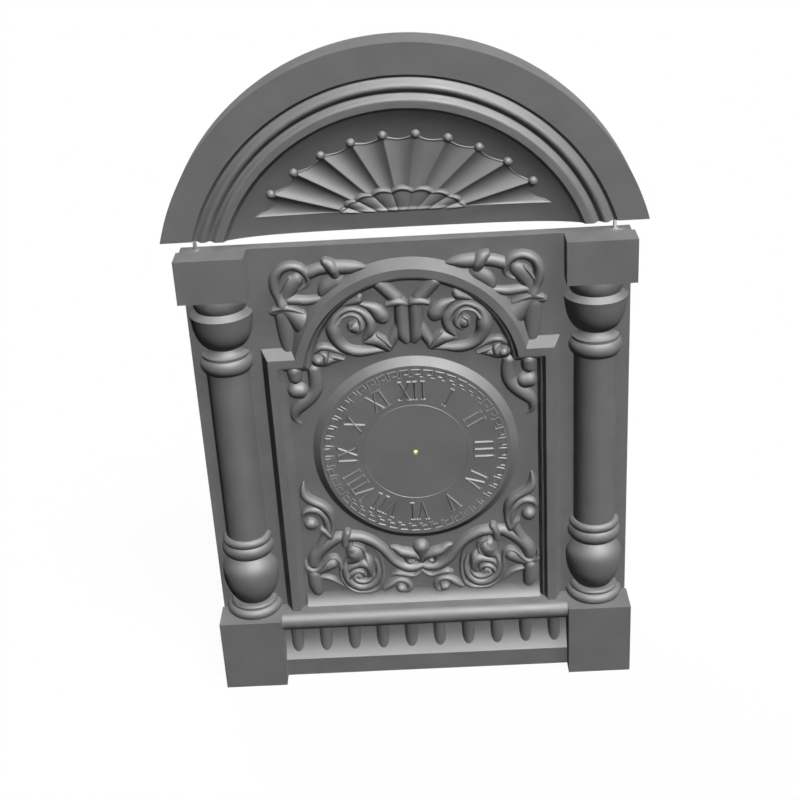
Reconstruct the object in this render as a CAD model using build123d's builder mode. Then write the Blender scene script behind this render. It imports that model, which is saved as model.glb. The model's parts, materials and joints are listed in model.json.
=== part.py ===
from build123d import *
import os
from math import atan, atan2, cos, degrees, hypot, pi, radians, sin, sqrt, tan

os.makedirs("parts", exist_ok=True)

# Front panel, the datum of the clock: sizes in millimetres, X right, Y into the clock, Z up
panel_half = 142.0
panel_top = 321.45
panel_t = 9.36

# Blocks above and below the columns
plinth_inner = 100.2
plinth_outer = 143.2
plinth_top = 53.7
plinth_proud = 22.8
capital_inner = 99.8
capital_outer = 144.0
capital_bottom = 292.7
capital_proud = 17.5

# Half-round columns, with their turnings as shares of the shaft's radius and the turning's height
column_x = 119.8
shaft_r = 14.0
shaft_low = 115.7
shaft_high = 240.0
foot_torus_shares = [(1.29, 0.0), (1.38, 0.053), (1.16, 0.106)]
foot_fillet_shares = [(1.16, 0.132), (1.09, 0.155), (0.87, 0.158)]
bulb_shares = [
    (0.87, 0.158), (1.09, 0.234), (1.31, 0.363), (1.385, 0.492), (1.33, 0.605), (1.11, 0.685), (0.9, 0.731)
]
lower_ring_shares = [(0.98, 0.74), (1.29, 0.84), (1.15, 0.91)]
upper_ring_shares = [(1.15, 0.91), (1.22, 0.955), (1.07, 1.0)]
neck_torus_shares = [(1.05, 0.0), (1.24, 0.114), (1.09, 0.197)]
neck_cove_shares = [(1.09, 0.235), (0.87, 0.264), (0.74, 0.315)]
cup_shares = [(0.74, 0.315), (1.09, 0.391), (1.31, 0.512), (1.42, 0.664), (1.47, 0.765)]
crown_ring_shares = [(1.16, 0.827), (1.245, 0.892), (1.23, 1.0)]

# Arched frame about the dial: outline on the panel, front outline, and the field inside it
frame_half = 97.0
frame_shoulder = 252.5
arch_z = 230.1
arch_r = 81.0
frame_proud = 10.0
frame_bevel = 4.6
frame_face_w = 5.55
slip_w = 4.8
slip_drop = 7.0
slip_proud = 7.4
slip_step = 3.6

# Sill, torus rail and fluted cove of the base
sill_h = 8.8
sill_proud = 5.0
torus_r = 6.2
torus_proud = 18.1
cove_fillet_h = 13.4
cove_fillet_proud = 11.4
cove_back_proud = 3.5
cove_lip_h = 1.4
cove_sag_share = 0.3
sill_sag_share = 0.38
tongue_count = 10
tongue_pitch = 20.35
tongue_r = 4.5

# Dial, in widths from the edge of the frame's field inwards
dial_z = 173.5
dial_margin = 13.05
bezel_w = 5.25
bezel_land = 0.75
dial_t = 4.35
dial_hole_r = 1.9
ring_margin = 4.2
ring_line_w = 0.5
ring_line_deep = 0.3
numeral_margin = 2.4
numeral_h = 13.0
numeral_relief = 0.5
stroke_w = 0.95
serif_w = 2.5
stroke_advance = 5.3
splay_advance = 8.4
splay_half = 3.1
key_margin = 3.0
key_h = 5.4
key_cells = 48
key_stroke = 0.75
key_relief = 0.45
key_hook_share = 0.72
key_return_share = 0.36
key_drop_share = 0.36

# Carved ornament: half-round stems on the panel
stem_r = 4.2
slim_r = 3.4
run_take_share = 0.45
crest_tube_shares = [(0.075, 0.36), (0.075, 0.79), (0.23, 0.95)]
crest_spiral_shares = [
    (0.2, 0.32), (0.43, 0.28), (0.65, 0.36), (0.765, 0.53), (0.71, 0.7), (0.56, 0.755), (0.43, 0.66),
    (0.45, 0.5),
]
crest_bell_shares = [(0.13, 0.8), (0.25, 0.73), (0.265, 0.6)]
crest_bud_shares = [(0.89, 0.25), (0.78, 0.255), (0.67, 0.21)]
crest_dome_shares = [(0.555, 0.55, 0.085), (0.51, 0.82, 0.065), (0.9, 0.22, 0.075)]
spandrel_stem_shares = [
    (0.955, 0.28), (0.98, 0.58), (0.98, 0.69), (1.025, 0.83), (0.94, 0.955), (0.815, 0.92), (0.81, 0.81)
]
spandrel_branch_shares = [(0.77, 0.915), (0.62, 0.94), (0.47, 0.93), (0.36, 0.925)]
spandrel_tie_shares = [(0.885, 0.69), (0.79, 0.675), (0.7, 0.685)]
spandrel_collar_shares = [(1.075, 0.59), (0.95, 0.6), (0.83, 0.6)]
spandrel_knot_shares = [(0.65, 1.0), (0.615, 0.945), (0.58, 0.88)]
spandrel_dome_shares = [(0.655, 0.755, 0.05)]
leaf_body_shares = [(0.8, 0.02), (0.745, -0.1), (0.8, -0.25), (0.88, -0.37), (0.93, -0.47)]
leaf_curl_shares = [(0.8, 0.02), (0.9, 0.03), (0.97, -0.05), (0.93, -0.12)]
leaf_dome_shares = [(0.92, -0.065, 0.055)]
scroll_stem_shares = [
    (0.92, 0.02), (0.925, 0.27), (0.85, 0.45), (0.73, 0.55), (0.6, 0.57), (0.44, 0.525), (0.29, 0.385),
    (0.17, 0.24), (0.05, 0.215),
]
scroll_ring_shares = [
    (0.73, 0.34), (0.695, 0.165), (0.62, 0.045), (0.51, 0.03), (0.385, 0.08), (0.345, 0.24), (0.4, 0.385)
]
scroll_inner_shares = [(0.45, 0.33), (0.41, 0.215), (0.46, 0.115), (0.56, 0.12), (0.59, 0.2)]
scroll_flare_shares = [(0.985, 0.31), (0.915, 0.235), (0.8, 0.32)]
scroll_volute_shares = [(0.29, 0.12), (0.17, 0.12), (0.115, 0.045)]
scroll_acanthus_shares = [(0.255, 0.42), (0.15, 0.37), (0.07, 0.28)]
scroll_leaf_shares = [(0.8, 0.51), (0.76, 0.64), (0.745, 0.79), (0.8, 0.9), (0.9, 0.97), (0.945, 1.09)]
scroll_curl_shares = [(0.765, 0.77), (0.87, 0.84), (0.965, 0.79), (0.98, 0.685), (0.92, 0.645)]
scroll_dome_shares = [(0.515, 0.18, 0.05), (0.565, 0.41, 0.085), (0.165, 0.035, 0.045), (0.915, 0.72, 0.055)]
fleuron_dome_shares = [(0.0, 0.385, 0.075), (-0.095, 0.335, 0.06), (0.095, 0.335, 0.06), (0.0, 0.27, 0.06)]

# Arched pediment over the panel's top, in widths from its edge inwards, with its hollowed tympanum and fan
pediment_gap = 6.72
pediment_proud = 1.1
pediment_overhang = 11.0
pediment_drop = 34.7
arch_band_w = 20.2
roll_w = 9.6
small_roll_w = 5.4
arch_lip_w = 4.2
roll_proud = 3.6
small_roll_proud = 2.2
dish_rim = 4.0
dish_deep = 10.0
tympanum_back = 13.0
fan_inset = 5.6
fan_arc_drop = 10.75
fan_focus_rise = 45.25
fan_tip_angle = 34.5
fan_bead_count = 10
fan_bead_r = 3.0
fan_depth = 2.6
fan_sag = 3.6
flute_bite = 1.4
flute_spread_share = 0.93
palmette_half = 38.0
palmette_h = 14.0
palmette_lobes = 9
palmette_bulge = 1.6
palmette_depth = 1.0
dowel_inset = 10.0
dowel_r = 1.25
dowel_deep = 12.0
dowel_play = 0.06

# Boxed case behind the panel, lower than the panel, with an inset back door
case_depth = 80.0
case_half = 140.0
case_top = 290.0
side_t = 12.0
board_t = 12.0
door_t = 8.0
door_gap = 1.0
hinge_low = 62.0
hinge_high = 228.0
hinge_h = 40.0
hinge_leaf_w = 11.0
hinge_leaf_t = 1.2
knuckle_r = 2.5
knuckle_gap = 0.4
hinge_pin_r = 1.2
hinge_play = 0.05
button_z = 150.0
button_reach = 24.0
button_tail = 6.0
button_w = 9.0
button_t = 3.0
button_gap = 0.3
button_screw_r = 1.6
button_screw_head_r = 3.6
button_screw_head_t = 1.5
button_screw_deep = 12.0

# Movement: plates, pillars and feet, between the panel and the back door
motion_gap = 10.0
plate_t = 2.0
plate_space = 24.0
plate_half = 62.0
plate_low = 128.0
plate_high = 238.0
pillar_inset = 8.0
pillar_r = 3.5
pillar_pivot_r = 2.0
foot_r = 4.0
foot_x = 44.0
foot_inset = 6.0
foot_screw_r = 1.3
foot_screw_head_r = 2.8
foot_screw_head_t = 1.4
foot_screw_deep = 6.0
run_play = 0.05
end_play = 0.3

# Wheels of the train: teeth, and pitch radii in pairs that share a centre distance
great_teeth = 72
great_r = 28.8
centre_leaves = 12
centre_teeth = 80
centre_r = 20.0
third_leaves = 8
third_teeth = 72
third_r = 16.2
escape_leaves = 6
escape_teeth = 36
escape_tip_r = 11.5
escape_root_r = 9.4
cannon_teeth = 12
motion_teeth = 36
motion_r = 10.8
motion_leaves = 10
hour_teeth = 40
addendum_share = 0.6
dedendum_share = 0.95
tooth_root_share = 0.52
tooth_tip_share = 0.24
escape_lean_share = 0.35
great_angle = -20.0
third_angle = 120.0
motion_angle = -90.0
wheel_holes = 5
wheel_hole_share = 0.2
wheel_hole_place_share = 0.58

# Places of the wheels in depth, from the inside of the front plate
great_at = 2.0
great_t = 2.5
drum_r = 21.5
drum_wall = 1.5
drum_deep = 12.5
drum_cap_t = 1.0
spring_inner_r = 6.0
spring_room = 0.35
winding_r = 3.0
winding_square = 4.0
winding_proud = 12.0
centre_at = 19.5
wheel_t = 1.4
centre_body_r = 1.6
minute_r = 0.85
centre_pinion_at = 1.3
centre_pinion_l = 3.9
third_at = 12.0
third_body_r = 1.0
third_pivot_r = 0.6
third_pinion_at = 18.6
third_pinion_l = 3.2
escape_at = 6.0
escape_body_r = 0.7
escape_pivot_r = 0.5
escape_pinion_at = 11.2
escape_pinion_l = 3.0

# Motion work, from the back of the panel
hour_at = 2.0
hour_pipe_r = 1.5
hour_play = 0.08
hour_back = 1.5
minute_back = 2.5
motion_pinion_at = 1.6
motion_pinion_l = 2.2
motion_at = 6.0
motion_hub_r = 1.9
motion_stud_r = 1.0
cannon_at = 5.4
cannon_l = 2.8

# Anchor, crutch and pendulum
anchor_rise = 17.3
anchor_arbor_r = 1.0
anchor_pivot_r = 0.6
anchor_at = 5.6
anchor_t = 2.0
anchor_band = 2.6
pallet_clear = 1.5
pallet_angle = 50.0
pallet_w = 1.6
crutch_at = 4.0
crutch_t = 1.2
crutch_w = 2.4
crutch_l = 34.0
crutch_prong_r = 0.8
crutch_prong_l = 6.0
rod_r = 0.9
rod_at = 8.0
rod_play = 0.3
pendulum_l = 172.0
rod_tail = 8.0
bob_r = 22.0
bob_t = 9.0
bob_rim_t = 1.6
bob_crown_share = 0.55
spring_strip_h = 5.0
spring_strip_w = 3.0
spring_strip_t = 0.5
cock_half = 5.0
cock_h = 7.0
cock_proud = 12.0

# Winding key
key_r = 4.2
key_l = 12.0
key_socket_deep = 8.0
key_gap = 0.1
key_start = 3.0
key_wing_half = 13.0
key_wing_h = 13.0
key_wing_t = 2.4

# One overrun for all cuts
overrun = 1.0

# Places worked out from the sizes above
whole_depth = plinth_proud + panel_t + case_depth + 2 * knuckle_r
panel_face = plinth_proud - whole_depth / 2
case_back = panel_t + case_depth
pediment_low = panel_top + pediment_gap
pediment_z = panel_top - pediment_drop
pediment_r = hypot(panel_half + pediment_overhang, pediment_low - pediment_z)
roll_outer_r = pediment_r - arch_band_w
roll_inner_r = roll_outer_r - roll_w
bead_inner_r = roll_inner_r - small_roll_w
tympanum_r = bead_inner_r - arch_lip_w
fan_arc_r = tympanum_r - fan_inset
fan_arc_z = pediment_z - fan_arc_drop
fan_focus = pediment_z + fan_focus_rise
dowel_x = panel_half - dowel_inset
field_half = frame_half - frame_bevel - frame_face_w - slip_w
bezel_r = field_half - dial_margin
bezel_face_r = bezel_r - bezel_w
dial_r = bezel_face_r - bezel_land
key_outer = dial_r - key_margin
key_inner = key_outer - key_h
numeral_inner = key_inner - numeral_margin - numeral_h
ring_line_r = numeral_inner - ring_margin
field_arch_r = arch_r - frame_bevel - frame_face_w - slip_w - (slip_drop - slip_w) / 2
field_shoulder = frame_shoulder - frame_bevel - frame_face_w - slip_drop
sill_top = plinth_top + sill_h
front_plate_at = panel_t + motion_gap
train_at = front_plate_at + plate_t
back_plate_at = train_at + plate_space
works_back = back_plate_at + plate_t


def ahead(proud):
    """Upright plane in front of the panel's face, drawn in X and Z, facing the viewer."""
    return Plane.XZ.offset(proud - panel_face)


def behind(depth):
    """Upright plane behind the panel's face, drawn in X and Z, facing the viewer."""
    return Plane.XZ.offset(-panel_face - depth)


def keep(piece, name):
    """Label a finished piece and write it."""
    piece.part.label = name
    export_step(piece.part, "parts/" + name + ".step")


def upright_rectangle(left, right, low, high):
    """Rectangle between two X places and two heights."""
    with Locations(((left + right) / 2, (low + high) / 2)):
        Rectangle(right - left, high - low)


def board(left, right, low, high, near, far):
    """Board between two X places, two heights and two depths behind the panel's face."""
    with BuildPart() as piece:
        with BuildSketch(behind(near)):
            upright_rectangle(left, right, low, high)
        extrude(amount=near - far)
    return piece


def bar_along_x(half, points_maker):
    """Moulding of one section, drawn in Y and Z, run along X between -half and half."""
    with BuildPart() as piece:
        with BuildSketch(Plane.YZ):
            with BuildLine():
                points_maker()
            make_face()
        extrude(amount=half, both=True)
    return piece


def rod_section(depth, length, radius, x, z):
    """Round rod parallel to Y, added to the piece being built."""
    with BuildSketch(behind(depth)) as section:
        with Locations((x, z)):
            Circle(radius)
    extrude(section.sketch, amount=-length)


def bore_section(depth, length, radius, x, z):
    """Round bore parallel to Y, cut from the piece being built."""
    with BuildSketch(behind(depth)) as section:
        with Locations((x, z)):
            Circle(radius)
    extrude(section.sketch, amount=-length, mode=Mode.SUBTRACT)


def polar(radius, angle):
    """Point at a radius and an angle in degrees."""
    return (radius * cos(radians(angle)), radius * sin(radians(angle)))


def gear_points(teeth, pitch_r, tooth_at, x, z):
    """Outline of a gear about a place, with the middle of one tooth at the angle tooth_at."""
    module = 2 * pitch_r / teeth
    tip = pitch_r + addendum_share * module
    root = pitch_r - dedendum_share * module
    half = 180 / teeth
    points = []
    for tooth in range(teeth):
        middle = tooth_at + 2 * half * tooth
        points.append(polar(root, middle - tooth_root_share * half))
        points.append(polar(tip, middle - tooth_tip_share * half))
        points.append(polar(tip, middle + tooth_tip_share * half))
        points.append(polar(root, middle + tooth_root_share * half))
    return [(x + across, z + rise) for across, rise in points]


def gear_section(depth, thick, teeth, pitch_r, tooth_at, x, z, bore):
    """Toothed disc with a bore, added to the piece being built."""
    with BuildSketch(behind(depth)) as section:
        with BuildLine():
            Polyline(*gear_points(teeth, pitch_r, tooth_at, x, z), close=True)
        make_face()
        if bore > 0:
            with Locations((x, z)):
                Circle(bore, mode=Mode.SUBTRACT)
    extrude(section.sketch, amount=-thick)


def lighten(depth, thick, radius, x, z):
    """Ring of round windows through a wheel's web."""
    with BuildSketch(behind(depth)) as section:
        with Locations((x, z)):
            with PolarLocations(wheel_hole_place_share * radius, wheel_holes):
                Circle(wheel_hole_share * radius)
    extrude(section.sketch, amount=-thick, mode=Mode.SUBTRACT)


# Front panel, with the hour pipe's hole, the dowel sockets and the pilot holes of the feet
foot_heights = (plate_low + foot_inset, plate_high - foot_inset)
dowel_y = panel_face + (panel_t - pediment_proud) / 2
with BuildPart() as front_panel:
    with BuildSketch(ahead(0)):
        upright_rectangle(-panel_half, panel_half, 0, panel_top)
        with Locations((0, dial_z)):
            Circle(dial_hole_r, mode=Mode.SUBTRACT)
    extrude(amount=-panel_t)
    with BuildSketch(Plane.XY.offset(panel_top)):
        with Locations((-dowel_x, dowel_y), (dowel_x, dowel_y)):
            Circle(dowel_r + dowel_play)
    extrude(amount=-dowel_deep, mode=Mode.SUBTRACT)
    with BuildSketch(behind(panel_t)):
        for foot_z in foot_heights:
            with Locations((-foot_x, foot_z), (foot_x, foot_z)):
                Circle(foot_screw_r)
    extrude(amount=foot_screw_deep, mode=Mode.SUBTRACT)
keep(front_panel, "front_panel")

# Plinth blocks under the columns and capital blocks above them
with BuildPart() as plinth_blocks:
    with BuildSketch(ahead(0)):
        upright_rectangle(-plinth_outer, -plinth_inner, 0, plinth_top)
        upright_rectangle(plinth_inner, plinth_outer, 0, plinth_top)
    extrude(amount=plinth_proud)
keep(plinth_blocks, "plinth_blocks")

with BuildPart() as capital_blocks:
    with BuildSketch(ahead(0)):
        upright_rectangle(-capital_outer, -capital_inner, capital_bottom, panel_top)
        upright_rectangle(capital_inner, capital_outer, capital_bottom, panel_top)
    extrude(amount=capital_proud)
keep(capital_blocks, "capital_blocks")

# Split-turned columns between the blocks
foot_h = shaft_low - plinth_top
head_h = capital_bottom - shaft_high


def turned_points(axis_x, base, height, shares):
    """Points of a turning's outline, left of its axis."""
    return [(axis_x - r_share * shaft_r, base + z_share * height) for r_share, z_share in shares]


def split_column(axis_x):
    """Half-round turned column whose flat side lies on the panel's face."""
    with BuildPart() as column:
        with BuildSketch(ahead(0)):
            with BuildLine():
                torus = turned_points(axis_x, plinth_top, foot_h, foot_torus_shares)
                fillet_points = turned_points(axis_x, plinth_top, foot_h, foot_fillet_shares)
                bulb = turned_points(axis_x, plinth_top, foot_h, bulb_shares)
                ring = turned_points(axis_x, plinth_top, foot_h, lower_ring_shares)
                top_ring = turned_points(axis_x, plinth_top, foot_h, upper_ring_shares)
                neck = turned_points(axis_x, shaft_high, head_h, neck_torus_shares)
                neck_cove = turned_points(axis_x, shaft_high, head_h, neck_cove_shares)
                cup = turned_points(axis_x, shaft_high, head_h, cup_shares)
                crown = turned_points(axis_x, shaft_high, head_h, crown_ring_shares)
                Polyline((axis_x, plinth_top), torus[0])
                ThreePointArc(*torus)
                Polyline(torus[-1], *fillet_points)
                Spline(*bulb)
                Polyline(bulb[-1], ring[0])
                ThreePointArc(*ring)
                ThreePointArc(*top_ring)
                Polyline(top_ring[-1], (axis_x - shaft_r, shaft_low), (axis_x - shaft_r, shaft_high), neck[0])
                ThreePointArc(*neck)
                Polyline(neck[-1], neck_cove[0])
                ThreePointArc(*neck_cove)
                Spline(*cup)
                Polyline(cup[-1], crown[0])
                ThreePointArc(*crown)
                Polyline(crown[-1], (axis_x, capital_bottom), (axis_x, plinth_top))
            make_face()
        revolve(axis=Axis((axis_x, panel_face, 0), (0, 0, 1)), revolution_arc=180)
    return column


keep(split_column(-column_x), "column_left")
keep(split_column(column_x), "column_right")


# Arched frame: a bevelled stile and arch moulding with a stepped slip inside it
def arched_outline(half, shoulder, radius):
    """Outline of two stiles, two shoulders and an arch, standing on the ledge of the base."""
    reach = sqrt(radius**2 - (shoulder - arch_z) ** 2)
    corners = [
        (-reach, shoulder), (-half, shoulder), (-half, plinth_top), (half, plinth_top), (half, shoulder)
    ]
    with BuildLine() as outline:
        Polyline(*corners, (reach, shoulder))
        ThreePointArc((reach, shoulder), (0, arch_z + radius), (-reach, shoulder))
    make_face(outline.line)


face_half = frame_half - frame_bevel
face_shoulder = frame_shoulder - frame_bevel
face_arch_r = arch_r - frame_bevel
lip_half = face_half - frame_face_w
lip_shoulder = face_shoulder - frame_face_w
lip_arch_r = face_arch_r - frame_face_w
with BuildPart() as dial_frame:
    with BuildSketch(ahead(0)):
        arched_outline(frame_half, frame_shoulder, arch_r)
    with BuildSketch(ahead(frame_proud)):
        arched_outline(face_half, face_shoulder, face_arch_r)
    loft(ruled=True)
    with BuildSketch(ahead(0)):
        arched_outline(lip_half, lip_shoulder, lip_arch_r)
    extrude(amount=frame_proud, mode=Mode.SUBTRACT)
keep(dial_frame, "dial_frame")

with BuildPart() as frame_slip:
    with BuildSketch(ahead(0)):
        arched_outline(lip_half, lip_shoulder, lip_arch_r)
    extrude(amount=slip_proud)
    with BuildSketch(ahead(slip_step)):
        arched_outline(lip_half - slip_w / 2, lip_shoulder - slip_drop / 2, (lip_arch_r + field_arch_r) / 2)
    extrude(amount=slip_proud, mode=Mode.SUBTRACT)
    with BuildSketch(ahead(0)):
        arched_outline(field_half, field_shoulder, field_arch_r)
    extrude(amount=slip_proud, mode=Mode.SUBTRACT)
keep(frame_slip, "frame_slip")


# Sill between the stiles, torus rail, and cove with raised tongues
def sill_section():
    """Hollow sill that leans from the panel's face out to the ledge."""
    bend = (panel_face - sill_proud * sill_sag_share, plinth_top + sill_h * sill_sag_share)
    Polyline((panel_face, sill_top), (panel_face, plinth_top), (panel_face - sill_proud, plinth_top))
    ThreePointArc((panel_face - sill_proud, plinth_top), bend, (panel_face, sill_top))


def torus_section():
    """Rail with a half-round nose."""
    nose_low = (panel_face - torus_proud + torus_r, plinth_top - 2 * torus_r)
    nose_high = (panel_face - torus_proud + torus_r, plinth_top)
    Polyline(nose_high, (panel_face, plinth_top), (panel_face, plinth_top - 2 * torus_r), nose_low)
    ThreePointArc(nose_low, (panel_face - torus_proud, plinth_top - torus_r), nose_high)


cove_high = plinth_top - 2 * torus_r


def cove_section():
    """Hollow rail that runs out to a flat fillet at the bottom."""
    cove_top = (panel_face - cove_back_proud, cove_high - cove_lip_h)
    cove_foot = (panel_face - cove_fillet_proud, cove_fillet_h)
    middle_y = panel_face - cove_back_proud - (cove_fillet_proud - cove_back_proud) * cove_sag_share
    middle = (middle_y, cove_fillet_h + (cove_high - cove_fillet_h) * cove_sag_share)
    Polyline(cove_foot, (panel_face - cove_fillet_proud, 0), (panel_face, 0), (panel_face, cove_high))
    Polyline((panel_face, cove_high), (panel_face - cove_back_proud, cove_high), cove_top)
    ThreePointArc(cove_top, middle, cove_foot)


sill_moulding = bar_along_x(field_half, sill_section)
keep(sill_moulding, "sill_moulding")
torus_moulding = bar_along_x(plinth_inner, torus_section)
keep(torus_moulding, "torus_moulding")
cove_rail = bar_along_x(plinth_inner, cove_section)
keep(cove_rail, "cove_rail")

with BuildPart() as base_tongues:
    with BuildSketch(Plane.XY.offset(cove_fillet_h)):
        with Locations((0, panel_face - cove_back_proud)):
            with GridLocations(tongue_pitch, 0, tongue_count, 1):
                Circle(tongue_r)
    extrude(amount=cove_high - cove_fillet_h)
    add(cove_rail.part, mode=Mode.SUBTRACT)
    split(bisect_by=ahead(cove_back_proud), keep=Keep.TOP)
keep(base_tongues, "base_tongues")


# Dial: bevelled bezel, plate, numerals and key border
with BuildPart() as dial_bezel:
    with BuildSketch(Plane.YZ):
        with BuildLine():
            Polyline(
                (panel_face, dial_z + dial_r),
                (panel_face, dial_z + bezel_r),
                (panel_face - dial_t, dial_z + bezel_face_r),
                (panel_face - dial_t, dial_z + dial_r),
                close=True,
            )
        make_face()
    revolve(axis=Axis((0, panel_face, dial_z), (0, 1, 0)))
keep(dial_bezel, "dial_bezel")

with BuildPart() as dial_plate:
    with BuildSketch(ahead(0)):
        with Locations((0, dial_z)):
            Circle(dial_r)
            Circle(dial_hole_r, mode=Mode.SUBTRACT)
    extrude(amount=dial_t)
    with BuildSketch(ahead(dial_t)):
        with Locations((0, dial_z)):
            Circle(ring_line_r + ring_line_w)
            Circle(ring_line_r, mode=Mode.SUBTRACT)
    extrude(amount=-ring_line_deep, mode=Mode.SUBTRACT)
keep(dial_plate, "dial_plate")

hour_names = ("I", "II", "III", "IV", "V", "VI", "VII", "VIII", "IX", "X", "XI", "XII")
numeral_mid = numeral_inner + numeral_h / 2
numeral_outer = numeral_inner + numeral_h


def serif(x, radius):
    """Short cross stroke that ends a stroke."""
    with Locations((x, radius)):
        Rectangle(serif_w, stroke_w)


def slanted_stroke(low_x, high_x):
    """Stroke that leans from the inner to the outer circle of a numeral."""
    lean = high_x - low_x
    tilt = -degrees(atan(lean / numeral_h))
    with Locations(Location(((low_x + high_x) / 2, numeral_mid, 0), (0, 0, tilt))):
        Rectangle(stroke_w, hypot(lean, numeral_h))
    serif(high_x, numeral_outer)


def numeral_strokes(name):
    """Strokes of one Roman numeral, centred on its radius, with the tops outward."""
    advances = [stroke_advance if letter == "I" else splay_advance for letter in name]
    x = -sum(advances) / 2
    for letter, advance in zip(name, advances):
        middle = x + advance / 2
        if letter == "I":
            with Locations((middle, numeral_mid)):
                Rectangle(stroke_w, numeral_h)
            serif(middle, numeral_inner)
            serif(middle, numeral_outer)
        elif letter == "V":
            slanted_stroke(middle, middle - splay_half)
            slanted_stroke(middle, middle + splay_half)
        else:
            slanted_stroke(middle + splay_half, middle - splay_half)
            slanted_stroke(middle - splay_half, middle + splay_half)
            serif(middle - splay_half, numeral_inner)
            serif(middle + splay_half, numeral_inner)
        x += advance


with BuildPart() as dial_numerals:
    with BuildSketch(ahead(dial_t)):
        for hour, hour_name in enumerate(hour_names, start=1):
            with Locations(Location((0, dial_z, 0), (0, 0, -360 * hour / len(hour_names)))):
                numeral_strokes(hour_name)
    extrude(amount=numeral_relief)
keep(dial_numerals, "dial_numerals")

# Key border: in each cell a riser, a top bar, a drop and a return bar
key_cell = 2 * pi * (key_inner + key_h / 2) / key_cells
key_hook = key_hook_share * key_cell
key_back = key_return_share * key_cell
key_drop = key_drop_share * key_h


def key_strokes():
    """Strokes of one cell of the key border, from the start of the cell."""
    with Locations((0, key_inner + key_h / 2)):
        Rectangle(key_stroke, key_h)
    with Locations((key_hook / 2, key_outer - key_stroke / 2)):
        Rectangle(key_hook + key_stroke, key_stroke)
    with Locations((key_hook, (key_outer + key_inner + key_drop) / 2)):
        Rectangle(key_stroke, key_h - key_drop)
    with Locations((key_hook - key_back / 2, key_inner + key_drop + key_stroke / 2)):
        Rectangle(key_back + key_stroke, key_stroke)
    with Locations((key_hook - key_cell / 2, key_inner + key_stroke / 2)):
        Rectangle(key_cell - key_hook + key_stroke, key_stroke)


with BuildPart() as dial_key_border:
    with BuildSketch(ahead(dial_t)):
        for cell in range(key_cells):
            with Locations(Location((0, dial_z, 0), (0, 0, -360 * cell / key_cells))):
                key_strokes()
    extrude(amount=key_relief)
keep(dial_key_border, "dial_key_border")


# Carved ornament on the panel, as half-round stems with domed eyes
def bend_radii(points):
    """Largest radius that the two runs at each corner leave room for."""
    radii = []
    for before, corner, after in zip(points, points[1:], points[2:]):
        run_in = hypot(corner[0] - before[0], corner[1] - before[1])
        run_out = hypot(after[0] - corner[0], after[1] - corner[1])
        heading_in = atan2(corner[1] - before[1], corner[0] - before[0])
        heading_out = atan2(after[1] - corner[1], after[0] - corner[0])
        turn = abs((heading_out - heading_in + pi) % (2 * pi) - pi)
        radii.append(run_take_share * min(run_in, run_out) / tan(turn / 2))
    return radii


def half_round(points, radius):
    """Half-round stem along a route on the panel's face, added to the piece being built."""
    with BuildLine(ahead(0)) as route:
        FilletPolyline(*points, radius=bend_radii(points))
    start = Plane(origin=route.line @ 0, x_dir=(0, -1, 0), z_dir=route.line % 0)
    with BuildSketch(start) as section:
        Circle(radius)
        with Locations((-radius, 0)):
            Rectangle(2 * radius, 2 * radius + overrun, mode=Mode.SUBTRACT)
    sweep(sections=section.sketch, path=route.line)


def dome(x, z, radius):
    """Half ball on the panel's face, added to the piece being built."""
    with Locations(Plane(origin=(x, panel_face, z), x_dir=(1, 0, 0), z_dir=(0, -1, 0))):
        Sphere(radius, arc_size1=0, align=(Align.CENTER, Align.CENTER, Align.MIN))


def placed(shares, x, z, size, hand):
    """Points on the panel from shares of a size, measured outward and up from a place."""
    return [(hand * (x + u * size), z + v * size) for u, v in shares]


def carving(routes, domes, x, z, size, hand, neighbours):
    """One carved ornament: stems and eyes, trimmed to the panel and to the pieces beside it."""
    with BuildPart() as piece:
        for shares, radius in routes:
            half_round(placed(shares, x, z, size, hand), radius)
        for u, v, r_share in domes:
            dome(hand * (x + u * size), z + v * size, r_share * size)
        for neighbour in neighbours:
            add(neighbour, mode=Mode.SUBTRACT)
    return piece


crest_routes = [
    (crest_tube_shares, stem_r), (crest_spiral_shares, stem_r), (crest_bell_shares, stem_r),
    (crest_bud_shares, slim_r),
]
spandrel_routes = [
    (spandrel_stem_shares, stem_r), (spandrel_branch_shares, stem_r), (spandrel_tie_shares, slim_r),
    (spandrel_collar_shares, slim_r), (spandrel_knot_shares, slim_r),
]
scroll_routes = [
    (scroll_stem_shares, stem_r), (scroll_ring_shares, stem_r), (scroll_inner_shares, slim_r),
    (scroll_flare_shares, slim_r), (scroll_volute_shares, slim_r), (scroll_acanthus_shares, slim_r),
    (scroll_leaf_shares, stem_r), (scroll_curl_shares, slim_r),
]
leaf_routes = [(leaf_body_shares, stem_r), (leaf_curl_shares, slim_r)]
lower_neighbours = [frame_slip.part, sill_moulding.part, dial_bezel.part]
leaf_neighbours = [frame_slip.part, dial_bezel.part]
lower_scrolls = []
for side_name, hand in (("left", -1), ("right", 1)):
    crest = carving(crest_routes, crest_dome_shares, 0, arch_z, field_arch_r, hand, [frame_slip.part])
    keep(crest, "crest_scroll_" + side_name)
    spandrel = carving(spandrel_routes, spandrel_dome_shares, 0, arch_z, arch_r, hand, [dial_frame.part])
    keep(spandrel, "spandrel_scroll_" + side_name)
    lower = carving(scroll_routes, scroll_dome_shares, 0, sill_top, field_half, hand, lower_neighbours)
    keep(lower, "lower_scroll_" + side_name)
    lower_scrolls.append(lower.part)

with BuildPart() as side_leaves:
    for hand in (-1, 1):
        leaf = carving(leaf_routes, leaf_dome_shares, 0, field_shoulder, field_half, hand, leaf_neighbours)
        add(leaf.part)
keep(side_leaves, "side_leaves")

lower_fleuron = carving([], fleuron_dome_shares, 0, sill_top, field_half, 1, lower_scrolls)
keep(lower_fleuron, "lower_fleuron")

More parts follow.
